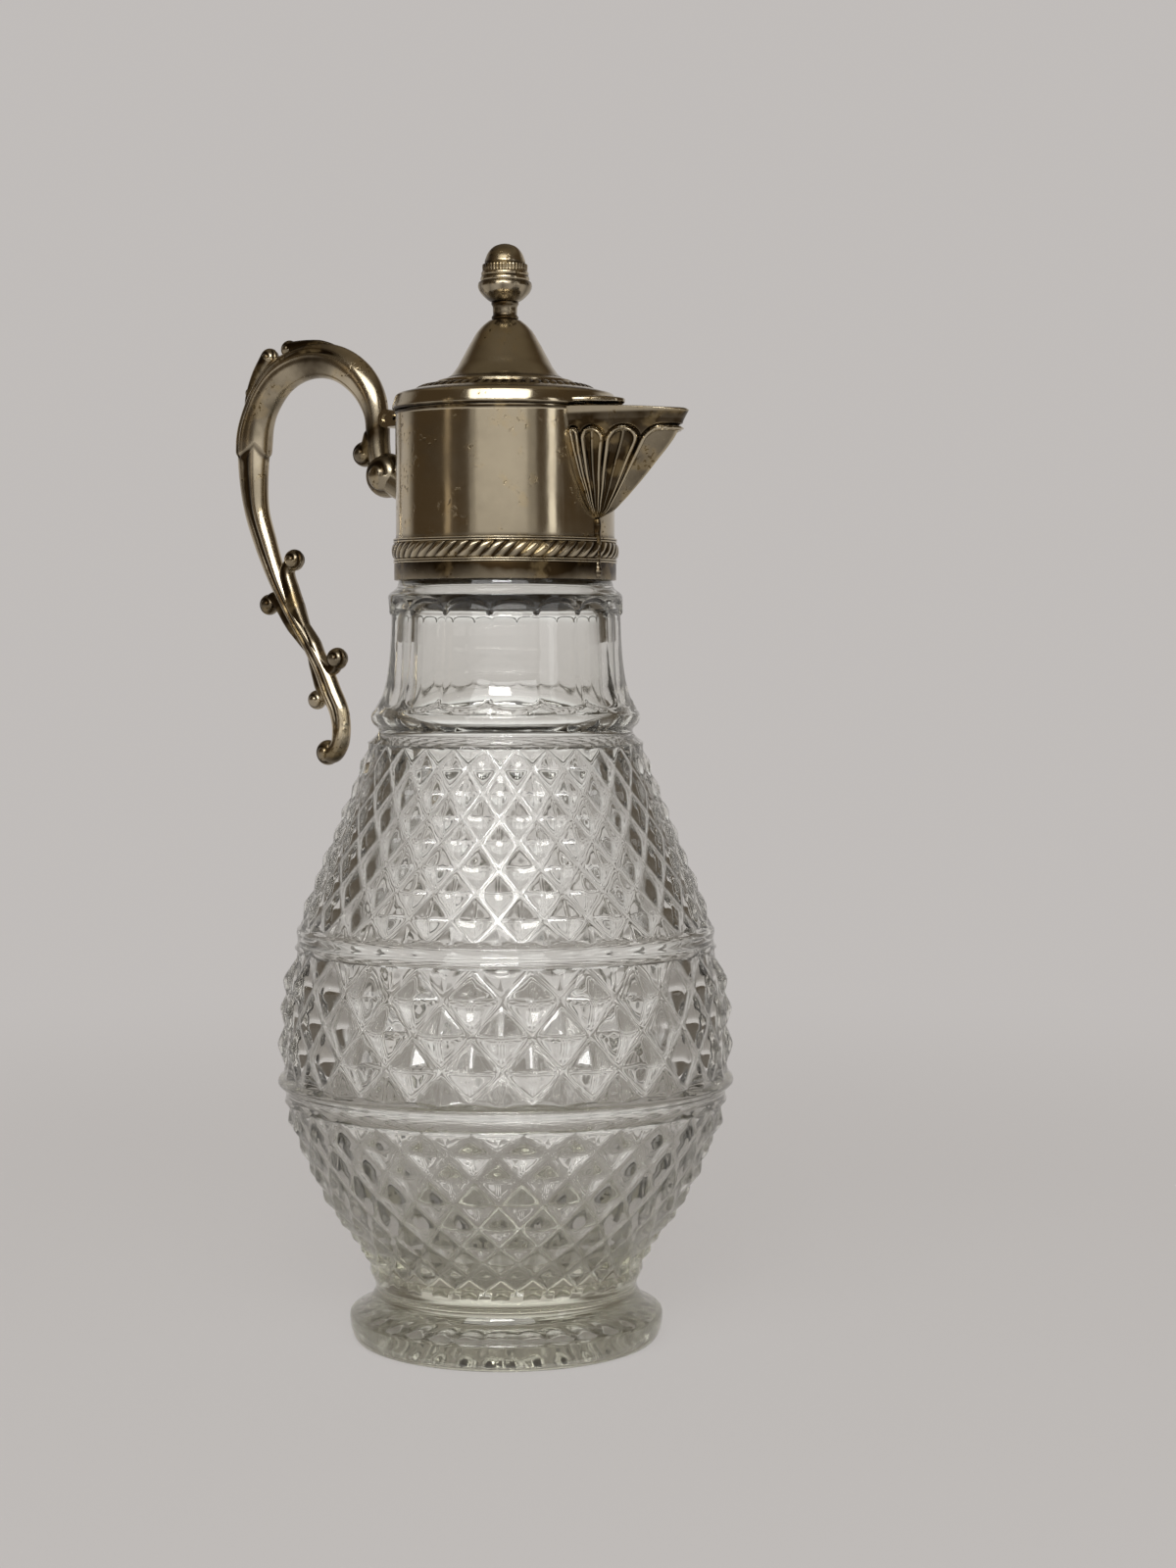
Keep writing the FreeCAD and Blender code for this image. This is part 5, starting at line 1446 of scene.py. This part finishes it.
@dataclass(frozen=True)
class Studio:
    """Camera at the photograph's place, pale floor, soft light panels and a plain room.

    Metal mirrors room and ceiling. Glass bends dusk and sky into view, and the floor near and under the jug,
    which rays through glass see darkened with painted shade. lit is the floor's own glow near the jug. fade
    and under are distances over which the floor turns into the backdrop, and the painted shade into the
    floor. floor_level, lens and sensor are in millimetres, other lengths in metres. Panels face the height
    lamp_aim. Wall, ceiling, sky and dusk come in or go between two cosines of the angle from straight behind
    the jug, for wall_in, dusk_in and dusk_out, or from straight up.
    What glass bends takes the shares bent_sky, bent_dusk, floor_dusk and floor_shade of those colours.
    """

    bearing: float = -55.0
    distance: float = 0.75271
    height: float = 0.18668
    pitch: float = 2.961
    yaw: float = 1.66
    lens: float = 65.25
    sensor: float = 36.0
    backdrop: Colour = (0.530, 0.505, 0.490)
    table: Colour = (0.80, 0.79, 0.785)
    cloth: Colour = (0.70, 0.69, 0.69)
    room: Colour = (0.080, 0.057, 0.034)
    ceiling: Colour = (0.17, 0.14, 0.10)
    dusk: Colour = (0.060, 0.045, 0.027)
    sky: Colour = (0.88, 0.88, 0.87)
    shade: Colour = (0.075, 0.066, 0.026)
    lit: float = 0.80
    fade: tuple[float, float] = (0.22, 0.75)
    under: tuple[float, float] = (0.037, 0.046)
    floor_level: float = -0.02
    lamp_aim: float = 0.15
    wall_in: tuple[float, float] = (0.32, 0.60)
    wall_out: tuple[float, float] = (0.30, 0.60)
    ceiling_in: tuple[float, float] = (0.55, 0.85)
    sky_in: tuple[float, float] = (0.06, 0.35)
    dusk_in: tuple[float, float] = (0.05, 0.25)
    dusk_out: tuple[float, float] = (0.82, 0.93)
    bent_sky: float = 0.7
    bent_dusk: float = 0.95
    floor_dusk: float = 0.58
    floor_shade: float = 0.40
    panels: tuple[Panel, ...] = (
        Panel("window", -6.5, 36.0, 1.5, 1.5, 0.75, 3.0),
        Panel("window_pane", -4.0, 30.0, 1.4, 0.45, 0.22, 14.0),
        Panel("near_wall", -4.0, 2.0, 1.9, 1.9, 1.0, 0.30),
        Panel("near_room", -2.5, 2.0, 1.8, 2.5, 1.0, 0.28),
        Panel("strip_right", 49.0, 6.0, 1.5, 0.2, 1.3, 1.3),
        Panel("strip_left", -62.0, 6.0, 1.5, 0.15, 1.3, 0.40, (1.0, 0.85, 0.65)),
    )

    def camera(self) -> None:
        """Make the camera at its bearing, distance and height; yaw turns it right of the jug, pitch down."""
        turn, yaw, pitch = (math.radians(angle) for angle in (self.bearing, self.yaw, self.pitch))
        forward_flat = Vector((-math.cos(turn), -math.sin(turn), 0.0))
        right_flat = Vector((-math.sin(turn), math.cos(turn), 0.0))
        aim = forward_flat * math.cos(yaw) + right_flat * math.sin(yaw)
        right = right_flat * math.cos(yaw) - forward_flat * math.sin(yaw)
        forward = aim * math.cos(pitch) - Vector((0.0, 0.0, math.sin(pitch)))
        data = bpy.data.cameras.new("photo_view")
        data.sensor_width, data.lens, data.clip_start = self.sensor, self.lens, 0.01
        view = bpy.data.objects.new("photo_view", data)
        place = Matrix((right, right.cross(forward), -forward)).transposed().to_4x4()
        place.translation = -forward_flat * self.distance + Vector((0.0, 0.0, self.height))
        view.matrix_world = place
        bpy.context.scene.collection.objects.link(view)
        bpy.context.scene.camera = view

    def light(self, panel: Panel) -> None:
        """Make one light panel, facing the jug's middle. Its power is pi times area times brightness.

        Args:
            panel: The panel.
        """
        data = bpy.data.lights.new(panel.name, "AREA")
        data.shape, data.size, data.size_y = "RECTANGLE", panel.width, panel.height
        data.energy = math.pi * panel.width * panel.height * panel.brightness
        data.color = panel.colour
        lamp = bpy.data.objects.new(panel.name, data)
        turn, rise = math.radians(self.bearing + panel.bearing), math.radians(panel.rise)
        toward = Vector((math.cos(turn) * math.cos(rise), math.sin(turn) * math.cos(rise), math.sin(rise)))
        place = toward.to_track_quat("Z", "Y").to_matrix().to_4x4()
        place.translation = toward * panel.distance + Vector((0.0, 0.0, self.lamp_aim))
        lamp.matrix_world = place
        lamp.visible_camera = False
        bpy.context.scene.collection.objects.link(lamp)

    def floor(self) -> None:
        """Make the floor: a wide disc that fades into the backdrop and mostly glows by itself to the camera,
        in metal and through glass. Through glass it shows painted shade near and under the jug."""
        radius = np.concatenate([[0.0], np.geomspace(50.0, 9000.0, 24)])
        disc = turned(np.stack([radius, np.full_like(radius, self.floor_level)], axis=1), 96, loop=False)
        piece = shell("pale_floor", [disc])
        material = bpy.data.materials.new("pale_floor")
        material.use_nodes = True
        graph = Graph(material.node_tree)
        spot = graph.node("TexCoord").outputs["Object"]
        away = graph.value("VectorMath", {0: spot}, "Value", operation="LENGTH")
        far, under = away.between(*self.fade), 1.0 - away.between(*self.under)
        colour = graph.mix(0.12 * graph.noise(scale=6.0, detail=2.0), self.table, self.cloth)
        matt = graph.node("BsdfPrincipled", {"Base Color": colour, "Roughness": 0.9})
        direct, mirrored, bent = (
            graph.value("LightPath", out=f"Is {kind} Ray") for kind in ("Camera", "Glossy", "Transmission")
        )
        # Painted shade on the floor, seen only through glass: dusk near the jug, and a darker shade under its
        # foot.
        tone = graph.mix(self.floor_dusk * bent * (1.0 - far), self.backdrop, self.dusk)
        tone = graph.mix(self.floor_shade * bent * under, tone, self.shade)
        glow = graph.node("Emission", {"Color": tone, "Strength": 1.0})
        seen = (direct + mirrored + bent).math("MINIMUM", 1.0)
        share = (self.lit + (1.0 - self.lit) * far) * seen
        graph.finish("MixShader", {0: share, 1: matt.outputs[0], 2: glow.outputs[0]})
        piece.data.materials.append(material)

    def surroundings(self) -> None:
        """Make the world: a pale wall behind the jug, a dim room elsewhere, the backdrop for the camera."""
        world = bpy.data.worlds.new("plain_room")
        bpy.context.scene.world = world
        world.use_nodes = True
        graph = Graph(world.node_tree)
        way = graph.node("TexCoord").outputs["Generated"]
        turn = math.radians(self.bearing)
        back = (-math.cos(turn), -math.sin(turn), 0.0)
        behind = graph.value("VectorMath", {0: way, 1: back}, "Value", operation="DOT_PRODUCT")
        upward = graph.value("SeparateXYZ", {0: way}, "Z")
        wall = behind.between(*self.wall_in) * (1.0 - upward.between(*self.wall_out))
        ceiling = graph.mix(upward.between(*self.ceiling_in), self.room, self.ceiling)
        room = graph.mix(wall, ceiling, self.backdrop)
        aside = behind.between(*self.dusk_in) * (1.0 - behind.between(*self.dusk_out))
        pale = graph.mix(self.bent_sky * upward.between(*self.sky_in), self.backdrop, self.sky)
        pale = graph.mix(self.bent_dusk * aside, pale, self.dusk)
        colour = graph.mix(graph.value("LightPath", out="Is Transmission Ray"), room, pale)
        colour = graph.mix(graph.value("LightPath", out="Is Camera Ray"), colour, self.backdrop)
        graph.finish("Background", {"Color": colour, "Strength": 1.0})

    def build(self) -> None:
        """Set up the view, the light and the floor."""
        bpy.context.scene.view_settings.view_transform = "Standard"
        self.camera()
        for panel in self.panels:
            self.light(panel)
        self.floor()
        self.surroundings()
        LOG.info("studio ready, %d panels", len(self.panels))


def main() -> None:
    """Build the studio and every sub-assembly."""
    logging.basicConfig(level=logging.INFO, format="%(name)s: %(message)s")
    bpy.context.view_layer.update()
    Studio().build()
    GlassBottle().build()
    Mount().build()
    Spout().build()
    Handle().build()
    Lid().build()


if __name__ == "__main__":
    main()
